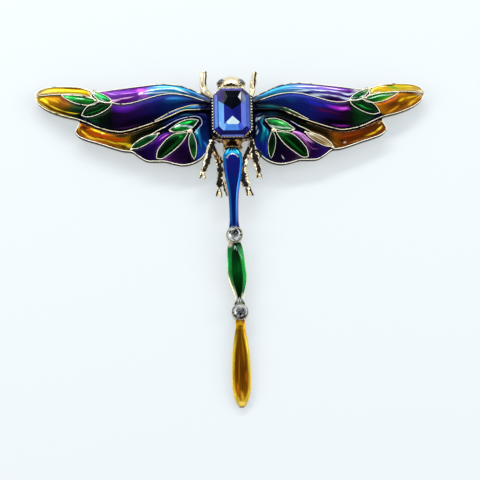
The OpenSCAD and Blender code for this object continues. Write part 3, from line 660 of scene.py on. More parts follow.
def enamel(name, along, touches, edges, level):
    """Enamel over foil: colours along the cell, painted touches, brushed streaks, painted glints as
    highlights, and painted shade along its edges.
    """
    material, tree, shader = new_material(name)
    where, u, v = own_map(tree)
    colour = paint_touches(tree, where, colour_ramp(tree, along, u), touches, 1.3 / level)
    streaks = place_group(tree, STREAKS, {"Map": where, "Depth": 0.6})
    colour = multiplied(tree, colour, grey_of(tree, streaks.outputs["Shade"]))
    # Painted highlights: thin glints lit to twice the colour
    painted_glint = math_node(tree, "MULTIPLY", streaks.outputs["Painted glint"], 0.7)
    colour = blend_node(tree, painted_glint, multiplied(tree, colour, level * PAINT),
        multiplied(tree, colour, 2 * level * PAINT))
    # Painted shade along the cell's edges, next to its gold lines
    across = math_node(tree, "ABSOLUTE", math_node(tree, "SUBTRACT", v, 0.5))
    colour = blend_node(tree, range_node(tree, across, 0.36, 0.5, last=edges), colour, PAINTED_EDGE_SHADE)
    enamel_surface(tree, shader, colour, 0.5, 0.25)
    return material


def facets(name, metallic=0.0, coat=0.25, gloss=0.25):
    """A cut stone: each facet painted with its own colour, the light and reflections it shows painted in,
    with a faint unevenness.
    """
    material, tree, shader = new_material(name)
    shade = new_node(tree, "Attribute", {}, attribute_name="facet").outputs["Color"]
    grain = place_group(tree, GRAIN, {"Size": 700.0, "Contrast": 0.3})
    tint = grey_of(tree, math_node(tree, "ADD", grain.outputs["Shade"], PAINT - 0.5))
    fill_in(tree, shader, {"Base Color": multiplied(tree, shade, tint), "Metallic": metallic,
        "Roughness": 0.08, "Specular IOR Level": gloss, "Coat Weight": coat, "Coat Roughness": 0.02})
    return material


PALE_GOLD = gold("pale_gold", (226, 212, 176), (56, 34, 14), (0.45, 0.26), 0.1, 0.6, metallic=0.7)
LINE_GOLD = gold("line_gold", (248, 242, 214), (60, 36, 10), (0.4, 0.26), 0.05, 0.5, metallic=0.3)
STEP_GOLD = gold("step_gold", (236, 222, 180), (8, 11, 32), (0.4, 0.26), 0.05, 0.5, metallic=0.35)
HOOK_GOLD = gold("hook_gold", (184, 190, 222), (10, 16, 42), (0.4, 0.26), 0.05, 0.5, metallic=0.3)
OLD_GOLD = gold("old_gold", (238, 222, 182), (22, 19, 18), (0.6, 0.28), 0.25, 0.75, metallic=0.8)
COPPER_GOLD = gold("copper_gold", (184, 144, 92), (40, 22, 8), (0.5, 0.28), 0.2, 0.8)
BACK_GOLD = gold("back_gold", (184, 158, 108), (8, 11, 42), (0.35, 0.35), 0.05, 0.5, bump=0.4)
RIM_GOLD = gold("rim_gold", (220, 206, 170), (10, 11, 34), (0.35, 0.22), 0.1, 0.8)
PIN_GOLD = gold("pin_gold", (196, 168, 112), (180, 150, 96), (0.3, 0.22), -2, -1, bump=0.1)
GOLD_EDGE = gold("gold_edge", (226, 182, 50), (140, 84, 8), (0.4, 0.28), 0.05, 0.5)
SILVER_RIM = gold("silver_rim", (234, 228, 200), (56, 50, 38), (0.45, 0.22), 0.1, 0.6, metallic=0.75)


# Wings
def step_of(name):
    return 0 if name in FORE_CELLS else HIND_STEP


def glaze(name, tag, material, slot):
    """The enamel of one cell, domed between its gold lines."""
    cell, side, leaf = CELLS[name], SIDES[tag], name in LEAVES
    first, second, start, end = cell
    meets = 1 if name in INSETS else 0
    inset = INSETS.get(name, (0.08, 0.08))

    def at(u, v):
        near, far = inset
        if name == "root_sweep":
            far = mix(far, 0.06, ease((u - 0.56) / 0.1))
            near = mix(near, -0.32, ease((u - 0.3) / 0.05)) - 0.25 * ease((u - 0.55) / 0.04)
            near = mix(near, inset[0], ease((u - 0.69) / 0.045))
        share = start + (1 - end - start) * u
        a, b = wing_spot(curve(first, share)), wing_spot(curve(second, share))
        width = max((b - a).length, 1e-6)
        here = a.lerp(b, mix(min(near / width, 0.45), 1 - min(far / width, 0.45), v))
        swell = 1 - abs(2 * v - 1) ** 2.6
        ends = min(1, u * 6, (1 - u) * 6) if leaf else min(1, u * 14 + meets, (1 - u) * 14)
        rise = ENAMEL_DOME * min(1, width / 3) * swell * ease(ends) * (0.9 if leaf else 0.8)
        return side * here.x, here.y, wing_height(here) - step_of(name) - ENAMEL_LIP + rise
    title = "%s_%s" % (name, tag)
    piece = sheet("glaze_" + title, 72 if len(first) > 9 else 36, 12 if leaf else 16, at)
    thicken(piece, GLAZE_T)
    finish_piece(piece, slot, material, title, angle=50)


def wing_plate(name, first, second, step, side):
    """The cast plate under the enamel, with softened edges."""
    def at(u, v):
        here = wing_spot(curve(first, u)).lerp(wing_spot(curve(second, u)), v)
        return side * here.x, here.y, wing_height(here) - step - PLATE_SINK

    # Dark on the plate's top under the enamel; on the walls, painted shade just under the top edge and
    # gilt lower down; bright on top at the tips
    def wear_and_shade(vertex):
        up, here = vertex.normal.z, in_part(vertex.co)
        if up > 0 and abs(here.x) > ROOT_X + 0.985 * WING_REACH:
            return 0.6
        if up > 0.8:
            return 0.0
        top = wing_height(Vector((abs(here.x), here.y))) - step - PLATE_SINK
        return mix(-0.7, 0.85, (top - here.z) / (WING_T - PLATE_SINK)) if up > -0.6 else 0.85
    piece = sheet(name, 90, 14, at)
    thicken(piece, WING_T - PLATE_SINK)
    soften(piece, 0.22, 3)
    mark_wear_and_shade(piece, wear_and_shade)
    gild(piece, BACK_GOLD)


def line_on_wing(rows, side, step, radius, lift=0.0, count=60, inward=0.0):
    """A raised gold line over the wing."""
    spots = [wing_spot(curve(rows, k / count)) for k in range(count + 1)]
    if inward:
        ahead = [(spots[min(k + 1, count)] - spots[max(k - 1, 0)]).normalized()
            for k in range(count + 1)]
        spots = [s + Vector((a.y, -a.x)) * inward for s, a in zip(spots, ahead)]
    reach = ROOT_X + WING_REACH - radius - 0.03
    points = [(side * min(s.x, reach), s.y, wing_height(s) - step + lift) for s in spots]
    return rod("line", points, [radius] * len(points))


def leaf_outline(name, side, radius):
    first, second = CELLS[name][:2]
    count = 26
    spots = [wing_spot(curve(first, k / count)) for k in range(count + 1)]
    spots += [wing_spot(curve(second, 1 - k / count)) for k in range(1, count)]
    points = [(side * s.x, s.y, wing_height(s) - step_of(name)) for s in spots]
    return rod("outline", points, [radius] * len(points), closed=True)


def gild_lines(name, pieces, bright_from=None, finish=LINE_GOLD):
    """Joins lines into one piece. Nearer the body than bright_from they fade into the dark."""
    piece = joined(name, pieces)
    close_up(piece)

    # Painted light on the lines' tops and painted shade on their sides, uneven along them
    def wear_and_shade(vertex):
        mark = slope_light_and_shade(vertex, -0.2, 0.5) * (0.72 + 0.9 * noise.noise(vertex.co * 900))
        if bright_from:
            low, high = bright_from
            mark = mix(-0.25, mark, ease((abs(vertex.co.x) / MM - low) / (high - low)))
        return mark
    mark_wear_and_shade(piece, wear_and_shade)
    gild(piece, finish, angle=60)


def wing(tag):
    side, right = SIDES[tag], tag == "right"
    hook = CELLS["root_sweep"][0]
    wing_plate("fore_plate_" + tag, LEADING, FORE_EDGE, 0, side)
    wing_plate("hind_plate_" + tag, HIND_TUCK, HIND_EDGE, HIND_STEP, side)
    gild_lines("wing_lines_" + tag, [
        line_on_wing(TIP_LINE, side, 0, 0.1, count=50),
        line_on_wing(TIP_FORK, side, 0, 0.12, count=16),
        line_on_wing(HIND_EDGE, side, HIND_STEP, 0.11, lift=-0.02, count=140, inward=-0.2),
        line_on_wing(hook[:6], side, HIND_STEP, FINE_LINE, count=50),
        *(leaf_outline(name, side, (0.045 if right else 0.06) if "inner" in name else LEAF_LINE)
            for name in LEAVES)])
    gild_lines("wing_hook_" + tag, [line_on_wing(hook[5:15], side, HIND_STEP, FINE_LINE, count=70)],
        (14.5, 17.5) if right else None, HOOK_GOLD)
    gild_lines("wing_edges_" + tag, [
        line_on_wing(LEADING, side, 0, 0.12, lift=0.03, count=110, inward=0.13)], (-6, 30))
    gild_lines("wing_veins_" + tag, [line_on_wing(VEIN, side, 0, FINE_LINE, count=70)], (6, 9))
    gild_lines("wing_steps_" + tag, [
        line_on_wing(FORE_EDGE, side, 0, 0.1, lift=-0.04, count=110, inward=-0.1),
        line_on_wing(BAND_EDGE[:6], side, 0, 0.1, lift=-0.08, count=40)],
        (11, 17) if right else (7, 10), STEP_GOLD)
    gild_lines("wing_tuck_" + tag, [
        line_on_wing(TUCK_LINE, side, HIND_STEP, 0.06, inward=-0.26)], (12, 19), COPPER_GOLD)
    knots = []
    for share, step, size in KNOTS:
        at = wing_spot(share)
        knot = fresh("knot", "uv_sphere", segments=20, ring_count=12, radius=size * MM,
            scale=(1.15, 0.85, 0.55))
        knots.append(moved(knot, (side * at.x, at.y, wing_height(at) - step - 0.02)))
    piece = joined("wing_knots_" + tag, knots)
    shade_by_slope(piece)
    gild(piece, PALE_GOLD)


# Enamel colours, as seen on the screen; ICE, PINK, MINT and CREAM are mostly used for painted highlights
ICE, CYAN = (226, 240, 255), (28, 190, 212)
BLUE, NAVY, INK, TEAL = (26, 64, 176), (14, 26, 88), (6, 8, 20), (18, 100, 112)
VIOLET, LILAC = (84, 34, 142), (190, 130, 228)
MAGENTA, PINK, DARK_PLUM = (200, 44, 214), (252, 196, 252), (20, 8, 36)
DARK_LEAF, LEAF, BRIGHT_LEAF, MINT = (5, 30, 12), (16, 104, 34), (48, 205, 92), (196, 246, 212)
MOSS, GOLDEN, HONEY = (18, 26, 10), (236, 166, 18), (190, 112, 10)
BROWN, CREAM = (84, 40, 8), (242, 218, 168)

# For each cell: the slot, then the left and the right one's colours along it and touches. Besides the
# enamel's own colours, these hold painted highlights, painted reflections and painted shade.
# Places on a cell's map are in hundredths
ENAMELS = {
    "strip_top": ("azure_enamel", (
        ((0, (132, 140, 176)), (12, (48, 126, 190)), (30, (60, 172, 222)), (46, (60, 138, 215)),
            (53, (124, 54, 172)), (62, (104, 36, 144)), (75, (118, 60, 166)), (86, (148, 82, 184)),
            (92, (70, 26, 100)), (100, CREAM)),
        (spot(40, 94, 12, 16, BLUE), spot(19, 75, 3.5, 20, NAVY), spot(12, 60, 8, 30, (30, 90, 140), 0.7),
            *sweep([(17, 66), (25, 46), (38, 42), (52, 40)], 5, ICE, 1),
            *sweep([(20, 94), (30, 86), (42, 68), (52, 52)], 4.5, ICE, 1),
            *sweep([(22, 50), (32, 26), (46, 16)], 3.5, (150, 220, 250), 1),
            *sweep([(26, 64), (38, 56), (48, 54)], 3, (24, 110, 180), 1),
            *sweep([(45, 98), (50, 62), (57, 16)], 3.5, (196, 80, 216), 0.8),
            spot(53, 50, 2.5, 12, (255, 226, 252), 1), spot(66, 80, 10, 20, (112, 10, 140)),
            *sweep([(58, 62), (68, 72), (76, 98)], 3.5, PINK, 1),
            *sweep([(58, 36), (72, 40), (86, 62)], 3, LILAC, 0.8),
            *sweep([(60, 16), (76, 22), (86, 36)], 3, (80, 30, 120)))), (
        ((0, (120, 140, 160)), (6, (56, 122, 166)), (16, (66, 182, 236)), (30, (88, 164, 228)),
            (44, (116, 126, 208)), (60, (120, 86, 184)), (78, (104, 44, 144)), (84, (176, 168, 200)),
            (100, CREAM)),
        (spot(10, 85, 10, 25, TEAL), spot(59, 90, 13, 26, (30, 10, 60), 1),
            *sweep([(42, 98), (50, 70), (58, 62), (66, 70), (75, 99)], 3.4, ICE, 1),
            *sweep([(36, 94), (46, 62), (58, 46), (68, 56), (79, 94)], 2.8, (40, 24, 110), 1),
            *sweep([(30, 88), (45, 50), (60, 34), (70, 44), (81, 84)], 3, ICE, 1),
            *sweep([(40, 42), (56, 24), (70, 30), (80, 60)], 2.4, (76, 44, 150)),
            *sweep([(34, 36), (56, 14), (74, 24)], 2.4, (214, 190, 246)),
            line((25, 58), (42, 50), 5, (170, 214, 250), 0.8), spot(78, 50, 3, 20, (110, 16, 140), 0.9),
            line((55, 98), (70, 98), 5, MAGENTA, 0.8), spot(86, 40, 4, 35, ICE, 0.6)))),
    "band_mid": ("navy_enamel", (
        ((0, INK), (8, (16, 20, 66)), (20, (12, 44, 100)), (35, (15, 24, 96)), (50, (38, 13, 78)),
            (68, (32, 11, 50)), (76, (9, 13, 14)), (90, (7, 32, 15)), (100, DARK_LEAF)),
        (spot(20, 36, 12, 26, (14, 76, 140)), line((18, 34), (27, 20), 5, (40, 120, 180), 0.7),
            spot(12, 82, 12, 20, (26, 50, 140)), spot(60, 24, 16, 20, (84, 20, 150)),
            spot(50, 88, 28, 32, (12, 7, 20)), line((50, 98), (70, 98), 4, (120, 40, 130), 0.7),
            spot(93, 75, 8, 30, (12, 74, 32), 0.7))), (
        ((0, INK), (8, (15, 38, 88)), (25, (19, 38, 118)), (40, (26, 34, 122)), (50, (38, 18, 108)),
            (65, (38, 10, 50)), (74, (14, 26, 14)), (85, (16, 66, 26)), (100, DARK_LEAF)),
        (*sweep([(36, 34), (48, 24), (58, 20)], 10, (38, 38, 176)),
            line((53, 20), (70, 36), 8.5, (176, 32, 196), 1), spot(47, 50, 5, 10, (90, 20, 90)),
            line((60, 25), (68, 33), 4, (236, 110, 240), 0.7), line((42, 40), (62, 52), 5, (90, 20, 74)),
            spot(24, 40, 6, 20, (12, 70, 130), 0.7), spot(60, 88, 20, 24, (8, 5, 12), 0.9),
            line((58, 97), (72, 97), 5, MAGENTA, 0.7)))),
    "strip_step": ("teal_enamel", (
        ((0, INK), (10, NAVY), (20, (58, 140, 212)), (35, (22, 108, 108)), (45, (28, 98, 78)),
            (55, (64, 104, 165)), (68, (38, 48, 128)), (82, (18, 68, 108)), (100, (18, 28, 38))),
        (spot(25, 78, 10, 22, NAVY), spot(50, 90, 50, 20, INK, 0.6))), (
        ((0, INK), (12, (10, 56, 66)), (25, TEAL), (45, (14, 48, 48)), (60, (10, 92, 36)),
            (80, (38, 46, 18)), (100, MOSS)),
        (spot(30, 90, 35, 30, INK),))),
    "root_sweep": ("navy_enamel", (
        ((0, (54, 44, 10)), (6, (24, 26, 10)), (24, (12, 16, 9)), (29, (18, 28, 86)), (38, (14, 40, 90)),
            (48, (10, 24, 66)), (60, (14, 22, 80)), (70, (12, 30, 92)), (85, (20, 60, 142)),
            (93, (34, 78, 195)), (100, (20, 58, 118))),
        (line((40, 86), (48, 40), 3.5, (24, 96, 120), 1), line((32, 70), (38, 30), 3, (30, 60, 150)),
            *sweep([(70, 0), (73.5, 24), (79, 34), (83, 20)], 8, (22, 160, 196), 1),
            line((76, 40), (90, 30), 8, (24, 110, 190), 1),
            line((72, 5), (76, 24), 2, (150, 236, 240), 1), spot(84, 4, 4, 12, (6, 24, 30)),
            line((62, 30), (68, 78), 2, (34, 46, 126)), line((85, 50), (90, 86), 2, (50, 130, 220)),
            spot(90, 88, 2.5, 9, ICE))), (
        ((0, (120, 72, 20)), (5, (50, 34, 12)), (20, (16, 22, 10)), (42, (12, 24, 12)),
            (48, (20, 56, 84)), (55, (8, 14, 34)), (66, (10, 36, 80)), (80, (12, 58, 118)),
            (90, (24, 34, 152)), (100, (14, 58, 106))),
        (line((2, 10), (20, 16), 9, (150, 92, 30), 0.8),
            *sweep([(61, 0), (68, 30), (74, 44), (84, 42)], 17, (14, 140, 176), 1),
            line((64, 10), (74, 44), 5, (60, 220, 232), 1), line((70, 2), (78, 20), 3, CYAN, 0.8),
            *sweep([(55, 36), (60, 44), (64, 70), (67, 94)], 2, ICE, 1),
            line((72, 84), (74.5, 94), 2, ICE), line((75.5, 74), (79, 90), 2, ICE)))),
    "amber_top": ("amber_enamel", (
        ((0, CREAM), (5, (226, 150, 14)), (16, (250, 204, 26)), (50, (250, 206, 34)),
            (70, (246, 214, 70)), (86, (236, 190, 104)), (100, CREAM)),
        (line((8, 20), (46, 26), 20, (140, 86, 2), 1), line((12, 50), (70, 46), 7, (255, 234, 60)),
            spot(78, 80, 14, 26, (240, 180, 100), 0.9), line((10, 90), (66, 88), 7, (255, 246, 214), 1),
            line((78, 10), (95, 34), 3, (150, 110, 50)), spot(2, 50, 3, 30, HONEY))), (
        ((0, (90, 110, 50)), (5, (240, 206, 90)), (30, (244, 200, 36)), (50, (240, 208, 44)),
            (65, (244, 200, 50)), (80, (240, 196, 70)), (100, CREAM)),
        (line((8, 36), (40, 78), 10, (250, 196, 30), 1), line((24, 10), (38, 36), 6, (70, 84, 16), 1),
            line((32, 30), (56, 72), 6, (126, 196, 60)), line((46, 4), (66, 16), 5, (120, 88, 30)),
            line((44, 36), (66, 50), 6, (240, 210, 40), 1),
            line((50, 78), (66, 94), 5, (190, 226, 120), 0.7), spot(64, 30, 12, 16, (255, 222, 70), 1),
            line((30, 3), (42, 5), 2, (86, 62, 20), 1), line((54, 3), (60, 14), 2, (60, 44, 16), 1),
            line((8, 4), (24, 30), 4, (255, 250, 220), 1), line((10, 86), (34, 96), 5, (240, 250, 230)),
            line((74, 5), (86, 12), 2, (110, 80, 34)), spot(78, 62, 12, 16, (255, 210, 60), 0.9)))),
    "amber_low": ("amber_enamel", (
        ((0, DARK_LEAF), (26, (8, 46, 20)), (40, (66, 56, 8)), (56, (134, 84, 8)), (80, (178, 122, 12)),
            (100, (206, 156, 36))),
        (spot(50, 34, 16, 30, (120, 70, 6)), line((46, 14), (72, 12), 10, (104, 40, 4), 1),
            line((60, 38), (82, 44), 6, (206, 150, 14)), line((76, 68), (94, 46), 6, (255, 224, 36), 1),
            *sweep([(14, 66), (40, 72), (70, 74), (95, 62)], 5, (236, 196, 40), 1),
            *sweep([(20, 82), (50, 84), (85, 84)], 3, (70, 48, 6), 1),
            *sweep([(25, 94), (60, 94), (95, 86)], 3.5, (230, 190, 60), 1),
            spot(93, 12, 7, 20, (176, 100, 6)))), (
        ((0, (160, 92, 16)), (10, (196, 116, 14)), (30, (140, 76, 8)), (50, (136, 74, 8)),
            (75, (190, 120, 12)), (88, (150, 84, 10)), (100, CREAM)),
        (spot(40, 12, 36, 18, (160, 74, 8), 0.9), spot(40, 40, 12, 20, (104, 54, 6), 0.9),
            *sweep([(52, 36), (68, 44), (90, 56)], 8, (240, 186, 20), 1),
            line((22, 84), (46, 60), 6, (216, 150, 20)), line((46, 62), (66, 70), 6, (110, 60, 6)),
            *sweep([(60, 84), (80, 74), (96, 66)], 6, (232, 180, 36), 1),
            line((70, 60), (86, 62), 3, (120, 66, 6)), spot(86, 14, 12, 20, (92, 50, 6)),
            *sweep([(10, 96), (50, 95), (90, 90)], 4, (60, 38, 8), 0.8)))),
    "fore_leaf_outer": ("green_enamel", (
        ((0, (10, 58, 22)), (20, (24, 118, 38)), (50, (20, 108, 28)), (80, (46, 176, 76)),
            (100, (14, 88, 32))),
        (line((38, 28), (62, 40), 6, MINT, 0.5), spot(84, 50, 8, 20, (96, 226, 130)),
            line((5, 92), (90, 90), 12, DARK_LEAF, 0.7))), (
        ((0, (10, 48, 15)), (30, (12, 98, 14)), (60, (50, 158, 38)), (85, (98, 116, 18)),
            (100, (138, 98, 18))),
        (line((5, 42), (60, 28), 7, MINT), line((50, 32), (95, 60), 5, ICE),
            line((45, 96), (95, 86), 8, GOLDEN, 0.7)))),
    "fore_leaf_upper": ("green_enamel", (
        ((0, (28, 88, 56)), (30, (46, 156, 84)), (50, (42, 200, 94)), (70, (86, 178, 106)),
            (100, (200, 220, 190))),
        (line((20, 82), (50, 66), 6, ICE), spot(86, 50, 8, 20, MINT))), (
        ((0, (150, 170, 190)), (20, (20, 88, 48)), (35, (8, 80, 24)), (50, (30, 108, 56)),
            (60, (10, 60, 34)), (80, (118, 168, 118)), (100, CREAM)),
        (line((10, 30), (30, 62), 5, MINT, 0.6), line((35, 76), (62, 90), 6, ICE)))),
    "fore_leaf_lower": ("green_enamel", (
        ((0, (8, 24, 8)), (50, (9, 38, 15)), (100, (8, 28, 13))),
        (line((12, 72), (88, 70), 8, (22, 132, 44)),)), (
        ((0, (9, 28, 13)), (45, (9, 48, 20)), (100, (8, 38, 15))),
        (line((20, 70), (72, 62), 10, (36, 165, 56)), spot(45, 60, 12, 10, BRIGHT_LEAF, 0.6)))),
    "hind_amber": ("amber_enamel", (
        ((0, (36, 30, 8)), (10, (160, 116, 18)), (20, (176, 110, 12)), (40, (206, 110, 10)),
            (60, (206, 96, 10)), (72, (150, 74, 8)), (85, (130, 70, 10)), (94, (206, 140, 50)),
            (100, CREAM)),
        (line((0, 10), (34, 14), 12, (50, 34, 6), 1), spot(58, 6, 15, 18, (255, 206, 30), 1),
            spot(47, 14, 4, 12, (255, 226, 90), 1),
            *sweep([(10, 34), (34, 42), (54, 36)], 13, (208, 72, 6), 1),
            spot(77, 28, 12, 26, (104, 44, 6), 1), line((66, 16), (70, 40), 3, (210, 110, 14)),
            *sweep([(1, 86), (8, 62), (22, 58)], 7, (248, 208, 40), 1),
            spot(12, 80, 6, 12, (84, 70, 8), 1),
            *sweep([(20, 68), (38, 62), (46, 72)], 6, (250, 204, 44), 1),
            spot(27, 86, 7, 10, (120, 70, 8)),
            *sweep([(46, 82), (58, 66), (74, 60)], 7, (255, 212, 44), 1),
            spot(42, 56, 4, 10, (120, 44, 4), 0.9), line((72, 82), (90, 62), 6, (214, 150, 30)),
            line((50, 94), (80, 90), 5, BROWN))), (
        ((0, (110, 60, 14)), (8, (150, 84, 16)), (20, (124, 54, 10)), (40, (116, 48, 10)),
            (55, (110, 50, 8)), (75, (110, 52, 8)), (90, (130, 70, 8)), (100, (150, 90, 14))),
        (line((4, 28), (46, 34), 10, (176, 66, 10)), spot(16, 56, 5, 12, (50, 30, 8)),
            spot(50, 70, 6, 14, (40, 22, 6)),
            *sweep([(46, 72), (60, 62), (78, 66)], 8, (240, 184, 24), 1),
            line((64, 58), (76, 62), 5, (255, 236, 90), 1),
            *sweep([(80, 30), (90, 50), (92, 80)], 5, (255, 232, 160), 1),
            line((56, 80), (80, 82), 4, (90, 48, 10)), line((50, 14), (80, 20), 9, (58, 25, 8)),
            spot(19, 70, 3, 9, (240, 200, 170), 0.9), line((24, 80), (48, 84), 7, (170, 106, 34)),
            line((2, 60), (10, 86), 3, (170, 110, 50)), spot(84, 50, 6, 30, (96, 48, 6))))),
    "hind_leaf_outer": ("green_enamel", (
        ((0, (48, 68, 48)), (15, (54, 138, 94)), (35, (13, 58, 32)), (60, (19, 90, 31)),
            (100, (13, 48, 22))), (spot(50, 10, 40, 20, DARK_LEAF),)), (
        # The right cell is painted cream as a reflection over its green, with brown foil streaks and
        # painted highlights
        ((0, (240, 220, 200)), (30, (222, 190, 140)), (60, (206, 168, 104)), (100, (220, 190, 120))),
        (spot(20, 40, 15, 30, (255, 240, 236)), spot(50, 92, 40, 14, BROWN, 0.9),
            line((15, 62), (85, 56), 7, (92, 56, 16), 1), line((40, 26), (95, 28), 6, (120, 78, 24), 1),
            line((20, 44), (90, 42), 6, (255, 246, 214), 1), spot(80, 70, 10, 12, (255, 236, 190))))),
    "hind_leaf_upper": ("green_enamel", (
        ((0, (38, 108, 68)), (20, (14, 84, 36)), (40, (16, 120, 44)), (70, (20, 150, 54)),
            (90, (16, 90, 40)), (100, LEAF)),
        (spot(40, 34, 18, 14, (40, 232, 84), 1), spot(34, 66, 14, 14, DARK_LEAF, 1),
            spot(74, 44, 16, 16, (70, 236, 96), 1), line((56, 70), (66, 56), 4, (30, 140, 20)),
            line((28, 8), (60, 6), 8, DARK_LEAF, 1), line((66, 84), (94, 62), 6, DARK_LEAF),
            *sweep([(34, 98), (48, 66), (62, 40), (84, 6)], 7, ICE, 1))), (
        ((0, (38, 88, 68)), (25, (26, 110, 60)), (50, (40, 160, 70)), (70, (60, 200, 90)),
            (90, (40, 150, 74)), (100, LEAF)),
        (*sweep([(22, 56), (42, 34), (62, 22)], 9, (44, 196, 66), 1),
            spot(58, 28, 12, 10, (160, 240, 150), 1), spot(42, 62, 8, 10, (48, 52, 60), 1),
            line((10, 86), (44, 90), 10, (12, 56, 26)),
            *sweep([(28, 94), (50, 80), (70, 66), (94, 40)], 8.5, (240, 250, 240), 1),
            line((55, 96), (90, 80), 7, DARK_LEAF, 1), line((30, 10), (60, 4), 6, DARK_LEAF)))),
    "hind_leaf_long": ("green_enamel", (
        ((0, (18, 108, 38)), (15, (17, 86, 32)), (40, (6, 28, 13)), (100, (6, 26, 9))),
        (line((8, 72), (86, 75), 11, (22, 106, 34)), spot(14, 55, 6, 16, BRIGHT_LEAF, 0.7))), (
        ((0, (18, 108, 38)), (12, (17, 86, 32)), (35, (6, 30, 13)), (100, (6, 28, 9))),
        (line((3, 60), (90, 66), 12, (18, 116, 28)),))),
    "hind_leaf_inner": ("green_enamel", (
        ((0, (48, 88, 58)), (20, (46, 118, 76)), (50, (13, 48, 28)), (72, (20, 110, 32)),
            (100, (38, 58, 48))), (spot(50, 10, 40, 20, DARK_LEAF, 0.6),)), (
        ((0, (22, 58, 38)), (40, (8, 28, 15)), (65, (10, 56, 13)), (100, (19, 48, 38))),
        (spot(66, 50, 10, 30, (14, 74, 20)),))),
    "plum_outer": ("plum_enamel", (
        ((0, (100, 90, 100)), (6, (60, 20, 90)), (20, (96, 24, 156)), (34, (88, 20, 150)),
            (50, (44, 16, 96)), (80, (24, 10, 54)), (100, (58, 20, 90))),
        (line((10, 60), (36, 42), 14, (206, 66, 226), 1), line((12, 56), (30, 46), 8, (250, 170, 255), 1),
            line((30, 70), (50, 30), 4, (110, 30, 170)), spot(90, 20, 10, 30, INK))), (
        ((0, (200, 80, 206)), (10, (236, 130, 240)), (38, (206, 110, 214)), (50, (90, 36, 110)),
            (62, (40, 14, 66)), (85, (48, 20, 110)), (100, (28, 12, 58))),
        (*sweep([(6, 20), (24, 44), (40, 50)], 11, PINK, 1),
            line((20, 14), (56, 10), 7, (250, 170, 250), 1),
            line((36, 34), (54, 20), 3.5, (255, 214, 255), 1),
            line((40, 62), (62, 28), 3, (60, 20, 80), 1), line((46, 66), (70, 30), 2, (176, 90, 190), 1),
            *sweep([(6, 66), (22, 82), (50, 90)], 10, (74, 26, 70)), spot(30, 92, 30, 14, DARK_PLUM)))),
    "plum_inner": ("plum_enamel", (
        ((0, (38, 20, 48)), (10, (58, 22, 88)), (30, (38, 14, 76)), (50, (30, 12, 50)),
            (70, (44, 18, 66)), (85, (70, 26, 90)), (100, (120, 70, 130))),
        (spot(40, 86, 30, 20, INK, 0.6), line((84, 50), (95, 30), 5, (150, 70, 160), 0.8))), (
        ((0, (8, 14, 8)), (25, (14, 14, 34)), (50, (26, 10, 46)), (80, (38, 15, 58)),
            (100, (88, 68, 98))), (line((56, 50), (66, 66), 2, ICE),))),
}

for tag, side in SIDES.items():
    wing(tag)
    for cell_name, (slot, left, right) in ENAMELS.items():
        along, touches = left if side < 0 else right
        level = 0.95 if "leaf" in cell_name or "amber" in cell_name and side > 0 else 0.85
        # Strength of the painted shade along each cell's edges
        edges = 0.08 if cell_name == "root_sweep" else 0.4
        material = enamel("%s_%s" % (cell_name, tag), along, touches, edges, level)
        glaze(cell_name, tag, material, slot)


# Large stone and its setting
def paint_facets(piece, chooser):
    """Colours each corner of each face. chooser(face, corner) gives the colour as light."""
    shade = piece.data.color_attributes.new("facet", "FLOAT_COLOR", "CORNER")
    for face in piece.data.polygons:
        for k in face.loop_indices:
            corner = piece.data.vertices[piece.data.loops[k].vertex_index].co
            shade.data[k].color = (*chooser(face, corner), 1)


def cut_table(stone, a, b, inside):
    """One straight cut through the table's faces whose centres lie inside a box."""
    low_x, high_x, low_y, high_y = inside

    def test(face):
        here = in_part(face.center)
        return face.normal.z > 0.99 and low_x < here.x < high_x and low_y < here.y < high_y
    along = Vector((b[0] - a[0], b[1] - a[1], 0)).normalized()
    with editing(stone, test):
        bpy.ops.mesh.bisect(plane_co=place(*a, TABLE_Z), plane_no=(along.y, -along.x, 0), threshold=1e-7)


# Cuts through the stone's table: from, to, and the box of the faces they cut
TABLE_CUTS = (
    ((-2.2, 0), (-2.2, 1), (-9, 9, -9, 9)), ((2.35, 0), (2.35, 1), (-9, 9, -9, 9)),
    ((0.05, 0), (0.05, 1), (-2, 2, -9, 9)),
    # left strip and its ends
    ((-3.4, 2.75), (-2.2, 1.95), (-4, -2.3, -9, 9)), ((-3.5, -2.9), (-2.2, -3.5), (-4, -2.3, -9, 1)),
    # right strip and its ends
    ((2.35, 2.1), (3.9, 3.2), (2.4, 4, -9, 9)), ((2.0, -3.1), (3.0, -4.35), (2.4, 4, -9, 1)),
    # the dark field above, with its point at the bottom
    ((-2.2, 2.05), (0.05, 0.45), (-2.1, 0, -9, 9)), ((2.35, 2.1), (0.05, 0.45), (0.1, 2.2, -9, 9)),
    # the bright triangle below, a painted highlight
    ((0.05, -1.3), (-1.6, -2.95), (-2.1, 0, -9, 0.2)), ((0.05, -1.3), (1.85, -3.0), (0.1, 2.2, -9, 0.2)),
    ((0, -3.6), (1, -3.6), (-2.1, 2.2, -9, -2.6)), ((-1.6, -2.95), (-1.2, -3.6), (-2.1, 0, -3.6, -1.5)),
    ((1.85, -3.0), (1.42, -3.6), (0.1, 2.2, -3.6, -1.5)),
    ((-1.7, -3.6), (-2.1, -5.6), (-2.1, 0, -9, -3.7)), ((1.42, -3.6), (1.66, -5.6), (0.1, 2.3, -9, -3.7)),
    # the corner facets seen at the top
    ((0, 3.97), (1, 3.97), (-2.1, 2.2, 1, 9)), ((-1.8, 5.6), (-1.16, 3.97), (-2.1, 0, 4, 9)),
    ((-1.16, 3.97), (-1.85, 2.86), (-2.1, 0, 1.2, 3.9)), ((2.5, 5.75), (1.6, 3.97), (0.1, 2.3, 4, 9)),
    ((1.6, 3.97), (2.35, 3.1), (0.1, 2.3, 1.2, 3.9)))
